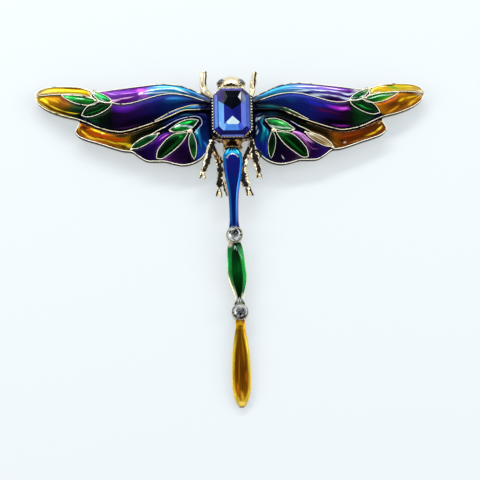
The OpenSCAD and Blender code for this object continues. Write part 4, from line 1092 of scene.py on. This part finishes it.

# A place in each facet of the table, and the two colours it wavers between. The table is painted with the
# facets seen through it as painted reflections, the white ones painted highlights.
TABLE_SHADES = (
    ((-2.9, 4.2), (96, 92, 104), (70, 60, 130)), ((-2.85, 0), (136, 196, 255), (118, 180, 255)),
    ((-2.8, -4.2), (92, 150, 240), (150, 205, 255)), ((3.1, 4.2), (160, 164, 184), (74, 80, 124)),
    ((3.0, 0), (98, 124, 226), (112, 130, 228)), ((2.9, -4.0), (96, 130, 232), (74, 108, 222)),
    ((-0.9, 2.6), (14, 16, 24), (8, 10, 20)), ((1.0, 2.6), (12, 14, 22), (8, 10, 20)),
    ((-0.6, 4.8), (22, 26, 34), (14, 14, 26)), ((0.9, 4.8), (22, 26, 34), (14, 14, 26)),
    ((-1.3, -0.8), (34, 46, 158), (26, 30, 120)), ((1.3, -0.8), (30, 38, 140), (22, 26, 108)),
    ((-0.6, -2.9), (226, 250, 255), (214, 244, 255)), ((0.7, -2.9), (226, 250, 255), (214, 244, 255)),
    ((-1.95, -3.3), (110, 172, 250), (96, 156, 244)), ((2.1, -3.4), (60, 84, 205), (70, 96, 214)),
    ((-0.7, -4.6), (86, 150, 238), (78, 138, 230)), ((0.8, -4.6), (84, 146, 236), (78, 136, 230)),
    ((-2.0, -4.8), (140, 200, 255), (120, 180, 250)), ((2.0, -4.6), (62, 84, 208), (90, 120, 226)),
    ((-1.75, 4.7), (90, 92, 96), (60, 62, 66)), ((-1.75, 3.4), (80, 82, 84), (50, 50, 54)),
    ((2.1, 4.6), (252, 250, 255), (226, 224, 232)), ((2.1, 3.6), (255, 255, 255), (212, 214, 216)))

# The crown's sides: the colours of the lowest, middle and top row, one or from end to end. Each side is
# painted with the light and reflection it shows from where it faces.
CROWN = {
    "left": (((60, 70, 190), (92, 90, 160)), ((100, 168, 255), (130, 148, 236)), ((20, 36, 150),)),
    "right": (((50, 66, 108),), ((76, 108, 220), (86, 110, 178)), ((84, 98, 200),)),
    "top": (((96, 84, 190),), ((80, 66, 170),), ((30, 26, 70),)),
    "bottom": (((128, 150, 255),), ((10, 10, 84),), ((14, 20, 110),)),
    "top left": (((110, 92, 160),), ((84, 76, 128),), ((60, 52, 90),)),
    "top right": (((70, 66, 130),), ((36, 40, 84),), ((30, 34, 70),)),
    "low corner": (((14, 10, 90),), ((8, 6, 66), (36, 36, 196)), ((10, 8, 84),)),
}
GIRDLE_SHADE = (16, 16, 80)


def stone_shade(face, corner):
    here, corner, (x, y, up) = in_part(face.center), in_part(corner), face.normal
    if up > 0.99:
        _, lit, far = min(TABLE_SHADES, key=lambda m: math.dist(m[0], here[:2]))
        return blend(lit, far, 0.5 + 0.5 * math.sin(2.1 * corner.x + 1.3 * corner.y))
    if up < 0.05:
        return light(GIRDLE_SHADE)
    share = ease((corner.y + 5) / 10)
    if abs(x) > 2.2 * abs(y):
        side = "left" if x < 0 else "right"
    elif abs(y) > 2.2 * abs(x):
        side = "top" if y > 0 else "bottom"
    elif y > 0:
        side = "top left" if x < 0 else "top right"
    else:
        side, share = "low corner", ease(abs(corner.x) - 3.6)
    row = CROWN[side][sum(here.z >= top for top in CROWN_ROWS)]
    return blend(row[0], row[-1], share)


def big_stone():
    stone = octagon_block("blue_stone", STONE_HALF, STONE_CUT, STONE_FOOT, GIRDLE_Z, STONE_Y)
    # the girdle, then the rows of the crown
    for inset, rise in ((0, 0.1), (0.3, 0.5), (0.72, 0.66), (0.24, 0.24)):
        step_top(stone, inset, rise)
    for a, b, inside in TABLE_CUTS:
        cut_table(stone, a, b, inside)
    paint_facets(stone, stone_shade)
    finish_piece(stone, "blue_stone", facets("blue_glass", coat=0.04, gloss=0.08), "centre_stone", 1)


def big_setting():
    wall = octagon_block("setting", SETTING_HALF, SETTING_CUT, BACK_Z, RIM_Z - 0.3, SETTING_MIDDLE,
        corner_steps=3)
    # a chamfer, the top of the wall and the seat inside it
    for inset, rise in ((0.16, 0.16), (0.5, 0.0), (0, -1.6)):
        step_top(wall, inset, rise)
    # the upper corners cut back beside the head, and a slope towards the waist below
    for at, away in (((3.1, 7.05, 0), (1, 1, 0)), ((-3.1, 7.05, 0), (-1, 1, 0)),
            ((0, -7.16, 7.7), (0, -0.94, -0.34))):
        with editing(wall):
            bpy.ops.mesh.bisect(plane_co=place(*at), plane_no=away, clear_outer=True, use_fill=True)
    apply(wall, "SUBSURF", subdivision_type="SIMPLE", levels=4, render_levels=4)

    def wear_and_shade(vertex):
        here = in_part(vertex.co)
        upper = ease((here.y - 4.6) / 0.9)
        lower = ease((-5.0 - here.y) / 1.2) * ease((RIM_Z - 0.3 - here.z) / 0.4)
        rough = noise.noise(Vector((here.x * 1.6, here.y * 1.6, here.z * 2.2)))
        return max(0.06, upper, lower * (0.4 + 0.9 * rough))
    mark_wear_and_shade(wall, wear_and_shade)
    gild(wall, RIM_GOLD)
    path = [s for s in octagon_path(BEAD_HALF, STONE_CUT, BEAD_PITCH) if s.y < 4.7]
    for name, spots, radius, finish in (
            ("setting_beads", [s for s in path if s.y > -6.0], 0.22, SILVER_RIM),
            ("setting_beads_low", [s for s in path if s.y <= -6.0], 0.17, COPPER_GOLD)):
        beads = grains(name, [(s.x, s.y + SETTING_MIDDLE, RIM_Z) for s in spots], radius)
        shade_by_slope(beads, 0.3, 0.95)
        gild(beads, finish)
    edge = [(s.x, s.y + STONE_Y, 8.98) for s in octagon_path(LIP_HALF, STONE_CUT, LIP_PITCH)]
    gild_wire(rod("setting_lip", edge, [0.08] * len(edge), closed=True), SILVER_RIM, -0.4, 0.4)
    brow = [(x, 7.42 - 0.03 * abs(x) - 0.5 * max(0, abs(x) - 2.5) ** 2, 8.6)
        for x in [k * 0.35 for k in range(-9, 10)]]
    gild_wire(rod("brow_rim", brow, [0.36] * len(brow)), PALE_GOLD, -0.6, 0.1)


big_stone()
big_setting()


# Head and eyes
def round_stone(name, slot, material, diameter, at, tilt, node, seed, lit, dark, glow=0.0):
    """A round stone with a table and two rows of facets, turned to its seat."""
    stone = fresh(name, "cylinder", (0, 0, -0.05 * diameter * MM), vertices=16,
        radius=diameter / 2 * MM, depth=0.12 * diameter * MM)
    step_top(stone, 0.11 * diameter, 0.09 * diameter)
    with editing(stone, lambda face: face.normal.z > 0.99 and face.center.z > 0):
        bpy.ops.mesh.inset(thickness=0.1 * diameter * MM)
        bpy.ops.transform.translate(value=(0, 0, 0.06 * diameter * MM))
        bpy.ops.transform.rotate(value=math.radians(11.25), orient_axis="Z", center_override=(0, 0, 0))
        bpy.ops.mesh.inset(thickness=0.12 * diameter * MM)
        bpy.ops.mesh.poke()
    apply(stone, "TRIANGULATE")

    # Facets painted from dark to lit at random as painted sparkle, with a painted light gradient across
    # the stone set by glow
    def shade(face, corner):
        x, y, _ = face.center
        sector = round(math.atan2(y, x) / (2 * math.pi) * 16)
        around = round(math.hypot(x, y) / (diameter / 2 * MM) * 5)
        spark = (math.sin(sector * 12.9898 + around * 78.233 + seed * 7.1) * 43758.5453) % 1
        spark = ease((spark - 0.2) / 0.55) * (1 if around > 2 else 0.4) + glow * y / (diameter * MM)
        return blend(dark, lit, min(1, max(0, spark)))
    paint_facets(stone, shade)
    stone.data.transform(tilt)
    finish_piece(moved(stone, at), slot, material, node, angle=1)


def ring(name, at, outer, low, high, finish, tilt=Matrix.Identity(4)):
    """A cup's wall with a rounded lip."""
    wall = 0.3
    cup = fresh(name, "cylinder", (0, 0, (high + low) / 2 * MM), vertices=40, radius=outer * MM,
        depth=(high - low) * MM)
    step_top(cup, wall, 0.0)
    step_top(cup, 0, -0.5 * (high - low))
    soften(cup, 0.36 * wall, 2, angle=60)
    cup.data.transform(tilt)
    shade_by_slope(moved(cup, at))
    gild(cup, finish)


# Pits under the brow: x, y, half width, half height
PITS = ((-3.15, 8.3, 0.36, 0.24), (-1.85, 8.0, 0.34, 0.26), (-0.85, 8.1, 0.46, 0.46),
    (-0.05, 8.2, 0.46, 0.56), (0.65, 8.05, 0.36, 0.4), (1.4, 8.0, 0.32, 0.26), (2.4, 8.1, 0.36, 0.2))


def head():
    def pit(x, y):
        return max(ease((1.42 - math.hypot((x - px) / w, (y - py) / h)) / 0.65) for px, py, w, h in PITS)

    def dome(u, v):
        turn, rise = 2 * math.pi * u, math.pi * (v - 0.5)
        x = HEAD_HALF * math.cos(turn) * math.cos(rise)
        y = SETTING_Y + HEAD_HALF * math.sin(turn) * math.cos(rise)
        z = HEAD_Z + HEAD_HIGH * math.sin(rise)
        brow = ease(1.3 - abs(y - 8.2 + 0.03 * x * x) * 1.8)
        return x, y, z + (0.16 * brow - 0.8 * pit(x, y) if z > HEAD_Z else 0)

    # Lower along the crease and in the pits, lower under the dome's middle as painted shade, and darker
    # towards the back
    def wear_and_shade(u, v):
        x, y, z = dome(u, v)
        crease = ease(1.3 - abs(y - 9.0 + 0.03 * x * x) * 5) * 0.35
        return 0.95 - crease - (1.5 * pit(x, y) if z > HEAD_Z else 0.4) - 0.3 * ease((y - 11.1) * 3)
    skull = sheet("head", 150, 80, dome, wear_and_shade)
    close_up(skull)
    gild(skull, PALE_GOLD, angle=60)
    for tag, side in SIDES.items():
        out = Matrix.Rotation(math.radians(90 - 45 * side), 4, "Z")
        tilt = out @ Matrix.Rotation(math.radians(50), 4, "Y")
        at = (side * 0.37 * HEAD_W, SETTING_Y + 0.26 * HEAD_W, HEAD_Z + 0.11 * HEAD_W)
        ring("eye_socket_" + tag, at, 1.3, -1.2, 0.12, PALE_GOLD, tilt)
        round_stone("eye_" + tag, "smoke_stone", facets("smoke_glass_" + tag), EYE_D, at, tilt,
            "eye_stone_" + tag, 1.3 if side > 0 else 2.3, (130, 134, 132), (6, 6, 8))


head()


# Legs
def limb(name, rows, side, at_row, groove, spread, seed, knobs=7.0, count=44, thick=1.0,
        lumps=0.4, groove_from=-1.0):
    """A knobbly leg along its route, with a dark groove at an angle round it, closed at both ends."""
    def trough(u, v):
        away = abs((math.degrees(2 * math.pi * v) - groove + 180) % 360 - 180)
        return ease(1.4 - away / spread) * ease((u - groove_from) / 0.15)

    def at(u, v):
        here, before, after = (Vector(at_row(curve(rows, min(1, max(0, u + d))), side))
            for d in (0, -0.01, 0.01))
        ahead = (after - before).normalized()
        across = ahead.cross(Vector((0, 0, 1))).normalized()
        up = across.cross(ahead).normalized()
        c, s = math.cos(2 * math.pi * v), math.sin(2 * math.pi * v)
        rough = noise.noise(Vector((u * knobs * 2.2 + seed, c * 1.4, s * 1.4)))
        swell = 1 + 0.35 * lumps * math.sin(u * knobs * math.pi + seed) + lumps * rough
        ends = ease(min(u, 1 - u) * count / 2.5)
        radius = curve(rows, u)[2] * LEG_D / 2 * thick * swell * ends
        return here + across * (c * radius * 1.1) + up * (s * radius * (1 - 0.4 * trough(u, v)))

    # Darker in the groove, uneven with the knobs, and painted shade on the underside
    def wear_and_shade(u, v):
        c, s = math.cos(2 * math.pi * v), math.sin(2 * math.pi * v)
        rough = noise.noise(Vector((u * knobs * 3.2 + seed + 4, 2 * c, 2 * s)))
        return 0.82 - 0.95 * trough(u, v) + (0.55 + lumps) * rough - 0.5 * ease((-s - 0.1) / 0.4)
    return sheet(name, count, 28, at, wear_and_shade)


def leg_spot(row, side):
    return (side * (SETTING_X + row[0] * LEG_REACH), -SETTING_Y - row[1] * LEG_REACH,
        BACK_Z + LEG_D * (1.1 - 0.5 * row[1]))


def foreleg_spot(row, side):
    return (side * (SETTING_X + row[0] * LEG_D), row[1] * FORE_REACH,
        BACK_Z + LEG_D * 1.1 + ease((row[1] - 0.6) / 0.4))


# Each leg: side, groove angle, route of [outward share, downward share, thickness], ends of its toes
LEGS = {
    "leg_outer_left": (-1, 120, [[-0.05, -0.08, 1.1], [0, 0.01, 1.2], [0.05, 0.19, 1.25],
        [0.1, 0.36, 1.15], [0.15, 0.49, 0.95]], [[0.22, 0.615, 0.62], [0.125, 0.64, 0.62]]),
    "leg_inner_left": (-1, 85, [[-0.02, -0.02, 0.9], [-0.1, 0.22, 0.9], [-0.15, 0.42, 1],
        [-0.155, 0.62, 1.1], [-0.135, 0.8, 0.95]], [[-0.075, 0.955, 0.62], [-0.165, 0.975, 0.62]]),
    "spur_low_left": (-1, 60, [[-0.15, 0.62, 0.9], [-0.2, 0.68, 0.75], [-0.235, 0.8, 0.5],
        [-0.275, 0.95, 0.4]], []),
    "scroll_left": (-1, 150, [[-0.03, 0.07, 0.6], [-0.085, 0.17, 0.75], [-0.145, 0.26, 0.8],
        [-0.18, 0.35, 0.7]], []),
    "leg_outer_right": (1, 95, [[-0.05, -0.08, 1.1], [-0.035, 0.05, 1.2], [0.015, 0.24, 1.2],
        [0.06, 0.41, 1.05], [0.08, 0.54, 0.9]], [[0.035, 0.62, 0.62], [0.125, 0.635, 0.62]]),
    "leg_inner_right": (1, 58, [[-0.05, 0.03, 1], [-0.145, 0.24, 1.1], [-0.2, 0.42, 1.3],
        [-0.185, 0.6, 1.45], [-0.13, 0.78, 1.25]], [[-0.13, 0.95, 0.62], [-0.035, 0.955, 0.62]]),
    "scroll_right": (1, 60, [[-0.06, 0.03, 0.6], [-0.105, 0.16, 0.75], [-0.15, 0.28, 0.8],
        [-0.19, 0.4, 0.7]], []),
    "spur_right": (1, 120, [[0.02, 0.12, 0.8], [0.08, 0.16, 0.9], [0.11, 0.24, 0.7]], []),
}
FORELEGS = {
    "foreleg_left": (-1, 32, [[-0.75, 0.39, 0.9], [0.1, 0.465, 1], [0.95, 0.555, 1.15],
        [1.27, 0.67, 1.15], [1.24, 0.84, 1.1], [1.14, 0.993, 0.9]]),
    "foreleg_right": (1, 62, [[-0.75, 0.39, 0.8], [-0.4, 0.46, 0.95], [-0.04, 0.55, 0.95],
        [0.17, 0.66, 0.9], [0.32, 0.81, 0.95], [0.62, 0.965, 0.8]]),
}


def legs():
    for number, (name, (side, groove, rows, toes)) in enumerate(LEGS.items()):
        scroll = "scroll" in name
        spread = 56 if "inner" in name else 64 if scroll else 42
        parts = [limb(name, rows, side, leg_spot, groove, spread, number * 2.3)]
        for k, toe in enumerate(toes):
            middle = [mix(p, q, 0.5) for p, q in zip(rows[-1], toe)]
            parts.append(limb(name + "_toe", [rows[-1], middle, toe], side, leg_spot,
                groove + 50 * k, 36, k + number, knobs=3, count=14, thick=0.72))
        piece = joined(name, parts)
        close_up(piece)
        gild(piece, COPPER_GOLD if scroll else OLD_GOLD, angle=70)
    for name, (side, groove, rows) in FORELEGS.items():
        piece = limb(name, rows, side, foreleg_spot, groove, 27, side * 1.7, knobs=3, count=50,
            thick=1.12, lumps=0.26, groove_from=0.5)
        close_up(piece)
        gild(piece, PALE_GOLD, angle=70)


legs()

# Waist: half widths from the stone to the tail, and its lobes as x, y, radius
WAIST_HALF = [[5.0], [3.7], [2.9], [2.5], [2.4], [2.3], [2.3]]
LOBES = ((-4.3, -7.2, 0.6), (-3.2, -7.3, 0.6), (-2.0, -7.7, 0.75), (-1.7, -8.6, 0.5),
    (-1.0, -7.3, 0.45), (0.9, -7.25, 0.45), (1.8, -7.8, 0.75), (3.0, -7.3, 0.6), (4.2, -7.2, 0.6),
    (1.75, -8.7, 0.5), (-0.1, -8.5, 0.4))


def waist():
    def swell(x, y):
        return max(ease(1.35 - math.hypot(x - a, y - b) / r) for a, b, r in LOBES)

    def hollow(x, y):
        return ease(1.5 - math.hypot((x + 0.1) / 0.8, (y + 7.75) / 0.45))

    def spread(u, v):
        half = curve(WAIST_HALF, u)[0]
        return mix(-half, half, v) - 0.05, mix(-6.8, -8.75, u)

    def fan(u, v):
        x, y = spread(u, v)
        rough = noise.noise(Vector((x * 2.2, y * 2.2, 5.0)))
        return (x, y, mix(8.0, 6.3, u) + 0.45 * swell(x, y) - 0.9 * hollow(x, y) + 0.25 * rough
            - 0.5 * abs(2 * v - 1) ** 4)

    def wear_and_shade(u, v):
        x, y = spread(u, v)
        rough = noise.noise(Vector((x * 3.5, y * 3.5, 3.0)))
        return 0.16 + 0.6 * swell(x, y) - 1.2 * hollow(x, y) + 0.8 * rough
    web = sheet("waist_web", 60, 90, fan, wear_and_shade)
    thicken(web, 1.6)
    gild(web, COPPER_GOLD, angle=60)
    turns = [math.radians(mix(205, -25, k / 24)) for k in range(25)]
    arc = [(-0.1 + 2.4 * math.cos(t), WAIST_Y - 0.62 + 1.12 * math.sin(t), TAIL_TOP + 0.15)
        for t in turns]
    gild_wire(rod("collar", arc, [0.15 - 0.04 * math.cos(k * math.pi / 6) for k in range(25)]),
        COPPER_GOLD)


# Tail
def tail_row(table, share):
    """Half-width share and facet share at a share of a segment's length."""
    for a, b in zip(table, table[1:]):
        if share <= b[0]:
            f = (share - a[0]) / (b[0] - a[0])
            return mix(a[1], b[1], f), mix(a[2], b[2], f)
    return table[-1][1:]


def smooth_row(table, share):
    rows = [tail_row(table, min(1, max(0, share + d))) for d in (-0.03, -0.015, 0, 0.015, 0.03)]
    return [sum(r[k] for r in rows) / len(rows) for k in (0, 1)]


def tail_enamel(name, facet, left, right, ends, crisp, touches):
    """Enamel of a tail segment: the raised facet and its two slopes each have their own colours; the
    slopes differ from each other and from the facet partly as painted light, and their pale stretches and
    the pale touches are painted highlights.
    """
    material, tree, shader = new_material(name)
    where, u, v = own_map(tree)
    slopes = blend_node(tree, math_node(tree, "GREATER_THAN", v, 0.5), colour_ramp(tree, left, u),
        colour_ramp(tree, right, u))
    start, start_reach, end, end_reach = ends
    beside = math_node(tree, "ABSOLUTE", math_node(tree, "SUBTRACT", v, 0.5))
    before = math_node(tree, "DIVIDE", math_node(tree, "SUBTRACT", start, u), start_reach)
    after = math_node(tree, "DIVIDE", math_node(tree, "SUBTRACT", u, end), end_reach)
    away = new_node(tree, "CombineXYZ", {0: math_node(tree, "MULTIPLY", beside, 4.0),
        1: math_node(tree, "MAXIMUM", before, 0.0), 2: math_node(tree, "MAXIMUM", after, 0.0)})
    inside = range_node(tree, length_node(tree, away.outputs[0]), crisp, 1.05, 1.0, 0.0)
    colour = blend_node(tree, inside, slopes, colour_ramp(tree, facet, u))
    colour = paint_touches(tree, where, colour, touches, 1.5)
    streaks = place_group(tree, STREAKS, {"Map": where, "Depth": 0.35, "Spacing": (3, 16, 1)})
    colour = multiplied(tree, multiplied(tree, colour, PAINT), grey_of(tree, streaks.outputs["Shade"]))
    enamel_surface(tree, shader, colour, 0.45, 0.22)
    return material


def tail_segment(name, table, start, length, width, rim, rim_radius, slot, material):
    """A cast tray with a fine rim, and the faceted enamel in it."""
    def at(share, x, rise):
        y = start - share * length
        return tail_x(y) + x, y, tail_z(y) + rise

    def tray(u, v):
        half = smooth_row(table, u)[0] * width / 2 - 0.06
        return at(u, mix(-half, half, v), -0.35)

    def fill(u, v):
        share = mix(0.004, 0.992, u)
        row, facet = smooth_row(table, share)
        half = max(row * width / 2 - 0.07, 0.08)
        flat = half * facet
        if v < 0.25:
            x = mix(-half, -flat, v / 0.25)
        elif v > 0.75:
            x = mix(flat, half, (v - 0.75) / 0.25)
        else:
            x = mix(-flat, flat, (v - 0.25) / 0.5)
        slope = min(1, max(0, (half - abs(x)) / max(half - flat, 0.05)))
        ends = ease(min(1, u * 9, (1 - u) * 9))
        return at(share, x, 0.45 * row * slope ** 0.75 * (0.25 + 0.75 * ends) - 0.12)
    base = sheet("tray_" + name, 60, 8, tray)
    thicken(base, TAIL_T - 0.36)
    soften(base, 0.2, 2)
    mark_wear_and_shade(base, lambda vertex: 0.5 if vertex.normal.z < 0.5 else 0.1)
    gild(base, BACK_GOLD)
    edges = []
    for side in (-1, 1):
        shares = [mix(0.0, 0.985, k / 60) for k in range(61)]
        points = [at(s, side * (smooth_row(table, s)[0] * width / 2 - rim_radius), -0.3) for s in shares]
        edges.append(rod("edge", points, [rim_radius] * len(points)))
    gild_wire(joined("rim_" + name, edges), rim, -0.2, 0.6)
    cover = sheet("glaze_" + name, 90, 32, fill)
    thicken(cover, TAIL_GLAZE_T)
    finish_piece(cover, slot, material, name + "_enamel", angle=28)


def tail():
    tail_segment("abdomen", ABDOMEN, WAIST_Y + 0.15, ABDOMEN_L + 0.15, ABDOMEN_W,
        COPPER_GOLD, 0.07, "blue_enamel", tail_enamel("abdomen_blue",
        ((0, (30, 44, 160)), (30, (26, 36, 142)), (45, (18, 44, 136)), (60, (18, 36, 128)),
            (100, (14, 32, 112))),
        ((0, (6, 50, 70)), (5, (20, 140, 190)), (12, (14, 126, 176)), (25, (16, 74, 156)),
            (45, (12, 84, 140)), (70, (14, 90, 150)), (85, (20, 100, 170)), (100, (30, 60, 160))),
        ((0, (6, 50, 70)), (5, (30, 150, 190)), (15, (28, 140, 210)), (30, (30, 110, 200)),
            (60, (40, 116, 212)), (85, (40, 104, 200)), (100, (50, 50, 150))),
        (0.18, 0.115, 0.93, 0.04), 0.93,
        (line((0, 20), (7, 16), 5, (120, 240, 245)), line((0, 34), (4.5, 33), 3.5, (4, 50, 70), 1),
            line((1, 42), (4.5, 41), 2.2, (70, 225, 240)), line((0, 50), (4, 50), 2.5, (2, 44, 60), 1),
            line((1, 57), (5, 58), 2.2, (60, 215, 240)), line((0, 64), (5, 66), 2.2, (4, 60, 80), 1),
            line((0, 72), (8, 76), 3, (90, 235, 245)), line((2, 86), (12, 86), 3, (8, 80, 120)),
            *sweep([(11.6, 30), (8.4, 40), (7.6, 51), (9, 60), (12.5, 70)], 1, ICE, 1),
            spot(12.5, 30, 2, 5, (210, 200, 255), 0.9), line((12, 30), (30, 26), 3, (60, 56, 180), 0.7),
            line((30, 78), (98, 77), 3, (90, 190, 250)), line((45, 98), (100, 95), 6, VIOLET),
            line((50, 22), (95, 20), 3, (30, 80, 190), 0.8), spot(20, 50, 3, 10, (50, 20, 130), 0.7))))
    tail_segment("middle", MIDDLE, MIDDLE_START, MIDDLE_L, MIDDLE_W,
        SILVER_RIM, 0.1, "green_enamel", tail_enamel("middle_green",
        ((0, (8, 34, 14)), (25, (8, 60, 22)), (45, (12, 96, 32)), (60, (8, 66, 22)), (75, (6, 44, 16)),
            (100, (6, 36, 12))),
        ((0, (120, 130, 90)), (10, (30, 120, 56)), (30, (40, 150, 70)), (50, (26, 118, 48)),
            (70, (80, 130, 80)), (80, (214, 220, 190)), (93, (230, 222, 196)), (100, DARK_LEAF)),
        ((0, (8, 50, 20)), (12, (60, 150, 84)), (30, (28, 140, 56)), (60, (24, 140, 56)),
            (80, (20, 90, 40)), (90, (200, 205, 170)), (100, DARK_LEAF)),
        (0.3, 0.33, 0.82, 0.15), 0.86,
        (line((5, 50), (12, 40), 2, ICE, 1), line((5, 50), (13, 62), 2, ICE, 1),
            line((10, 66), (28, 88), 2, (150, 210, 166), 0.7), spot(45, 97, 30, 5, (60, 190, 90)),
            line((55, 2), (90, 5), 5, CREAM), spot(30, 3, 14, 6, BRIGHT_LEAF, 0.6),
            spot(0, 10, 10, 20, (236, 214, 208), 1), spot(3, 60, 5, 20, DARK_LEAF, 1),
            line((98, 30), (90, 50), 3, ICE, 1), line((98, 70), (90, 50), 3, ICE, 1),
            spot(40, 60, 12, 8, (20, 120, 44)))))
    tail_segment("drop", DROP, DROP_START, DROP_L, DROP_W,
        GOLD_EDGE, 0.1, "amber_enamel", tail_enamel("drop_amber",
        ((0, (150, 96, 10)), (15, (130, 82, 10)), (40, (146, 84, 8)), (60, (132, 74, 8)),
            (80, (160, 92, 10)), (100, (200, 136, 24))),
        ((0, (200, 122, 10)), (6, (250, 186, 30)), (12, (140, 92, 8)), (30, (226, 186, 50)),
            (60, (216, 160, 24)), (90, (244, 196, 50)), (100, (250, 216, 100))),
        ((0, (200, 122, 10)), (6, (250, 186, 30)), (12, (200, 144, 14)), (30, (250, 214, 60)),
            (60, (240, 196, 44)), (90, (246, 196, 50)), (100, (250, 216, 100))),
        (0.4, 0.38, 0.8, 0.17), 0.7,
        (spot(3.5, 50, 3, 50, (255, 190, 40), 0.9), spot(7.5, 50, 1.5, 50, (112, 64, 6)),
            spot(80, 36, 10, 7, (226, 120, 14)), spot(66, 66, 10, 5, (216, 110, 14), 0.7),
            line((12, 55), (50, 62), 5, (190, 126, 20), 0.8),
            line((40, 44), (80, 40), 2.5, (206, 126, 18), 0.8),
            line((50, 55), (90, 52), 2, (92, 50, 4), 0.8), line((25, 35), (60, 30), 3, (104, 60, 6), 0.7),
            line((20, 2), (95, 2), 7, (252, 232, 140)), line((25, 98), (85, 98), 8, (255, 226, 110)),
            line((20, 80), (75, 82), 2.5, (255, 214, 90), 0.8),
            line((84, 45), (94, 60), 6, (240, 170, 40)), spot(97, 50, 4, 50, (255, 214, 90), 1))))
    for tag, y, seed, glow in (("upper", CUP_1, 0.4, -0.5), ("lower", CUP_2, 2.1, 1.2)):
        at = (tail_x(y), y, tail_z(y) + CUP_RISE)
        ring("cup_" + tag, at, CUP_D / 2 - 0.16, -(TAIL_T + CUP_RISE) + 0.05, -0.02, LINE_GOLD)
        round_stone("round_stone_" + tag + "_cut", "clear_stone", facets("clear_glass_" + tag, 0.3),
            ROUND_D, at, Matrix.Identity(4), "round_stone_" + tag, seed, (248, 250, 248), (5, 7, 8), glow)


waist()
tail()


# Back bed and pin
def pin_bed():
    half = PIN_HALF + PIN_END + 0.3
    bed = fresh("pin_bed", "cube", place(0, PIN_Y, BACK_Z + 0.7), size=1,
        scale=(2 * half * MM, 4.6 * MM, 1.36 * MM))
    soften(bed, 0.25, 3, angle=30)
    mark_wear_and_shade(bed, lambda vertex: 0.8)
    gild(bed, BACK_GOLD)


pin_bed()
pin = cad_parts["pin"]
pin.data.materials.clear()
pin.data.materials.append(PIN_GOLD)

# Floor, lights, camera
# Lamps: place in metres, width, depth, watts
LAMPS = {
    "back_softbox": ((-0.1, 0.42, 0.42), 0.65, 0.1, 2.6),
    "left_softbox": ((-0.5, -0.05, 0.35), 0.3, 0.3, 1.0),
    "right_softbox": ((0.5, 0.0, 0.4), 0.4, 0.4, 1.5),
}


def plain_plane(name, finish, size, location, inputs):
    plane = fresh(name, "plane", location, size=size)
    material, tree, shader = new_material(finish)
    fill_in(tree, shader, inputs)
    plane.data.materials.append(material)
    return plane


def studio():
    floor = plain_plane("floor", "pale_floor", 12, (0, 0, 0), {"Base Color": (0.34, 0.35, 0.355, 1),
        "Roughness": 0.7, "Specular IOR Level": 0.1, "Emission Color": (0.9, 0.97, 1, 1),
        "Emission Strength": 0.43})
    for name, (at, width, depth, watts) in LAMPS.items():
        bpy.ops.object.light_add(type="AREA", location=at)
        lamp = named(name)
        lamp.data.shape = "RECTANGLE"
        lamp.data.size, lamp.data.size_y, lamp.data.energy = width, depth, watts
        lamp.rotation_euler = (-Vector(at)).to_track_quat("-Z", "Y").to_euler()
    # a dark card over the brooch, seen only in its reflections
    flag = plain_plane("dark_flag", "dark_card", 0.46, (0.02, 0.12, 0.6),
        {"Base Color": (0.01, 0.01, 0.012, 1), "Roughness": 1.0, "Specular IOR Level": 0.0})
    flag.visible_camera = flag.visible_diffuse = flag.visible_shadow = False
    scene = bpy.context.scene
    scene.world = bpy.data.worlds.new("studio")
    scene.world.use_nodes = True
    sky = scene.world.node_tree
    fill_in(sky, sky.nodes["Background"], {"Color": (0.8, 0.86, 0.92, 1), "Strength": 0.9})
    scene.view_settings.view_transform = "Standard"
    scene.view_settings.look = "None"


def camera():
    turn, rise, roll = (math.radians(a) for a in (CAMERA_TURN, CAMERA_RISE, CAMERA_ROLL))
    back = Vector((math.sin(turn) * math.cos(rise), -math.cos(turn) * math.cos(rise), math.sin(rise)))
    right = Vector((math.cos(turn), math.sin(turn), 0))
    up = back.cross(right)
    across = right * math.cos(roll) + up * math.sin(roll)
    upward = up * math.cos(roll) - right * math.sin(roll)
    seat = place(*CAMERA_AIM) + back * CAMERA_AWAY
    bpy.ops.object.camera_add()
    eye = named("camera")
    eye.matrix_world = Matrix([(*row, 0) for row in (across, upward, back, seat)]).transposed()
    eye.matrix_world[3][3] = 1
    eye.data.sensor_width = SENSOR
    eye.data.lens = SENSOR * LENS_PIXELS / PHOTO_PIXELS
    eye.data.clip_start = 0.01
    bpy.context.scene.camera = eye


studio()
camera()
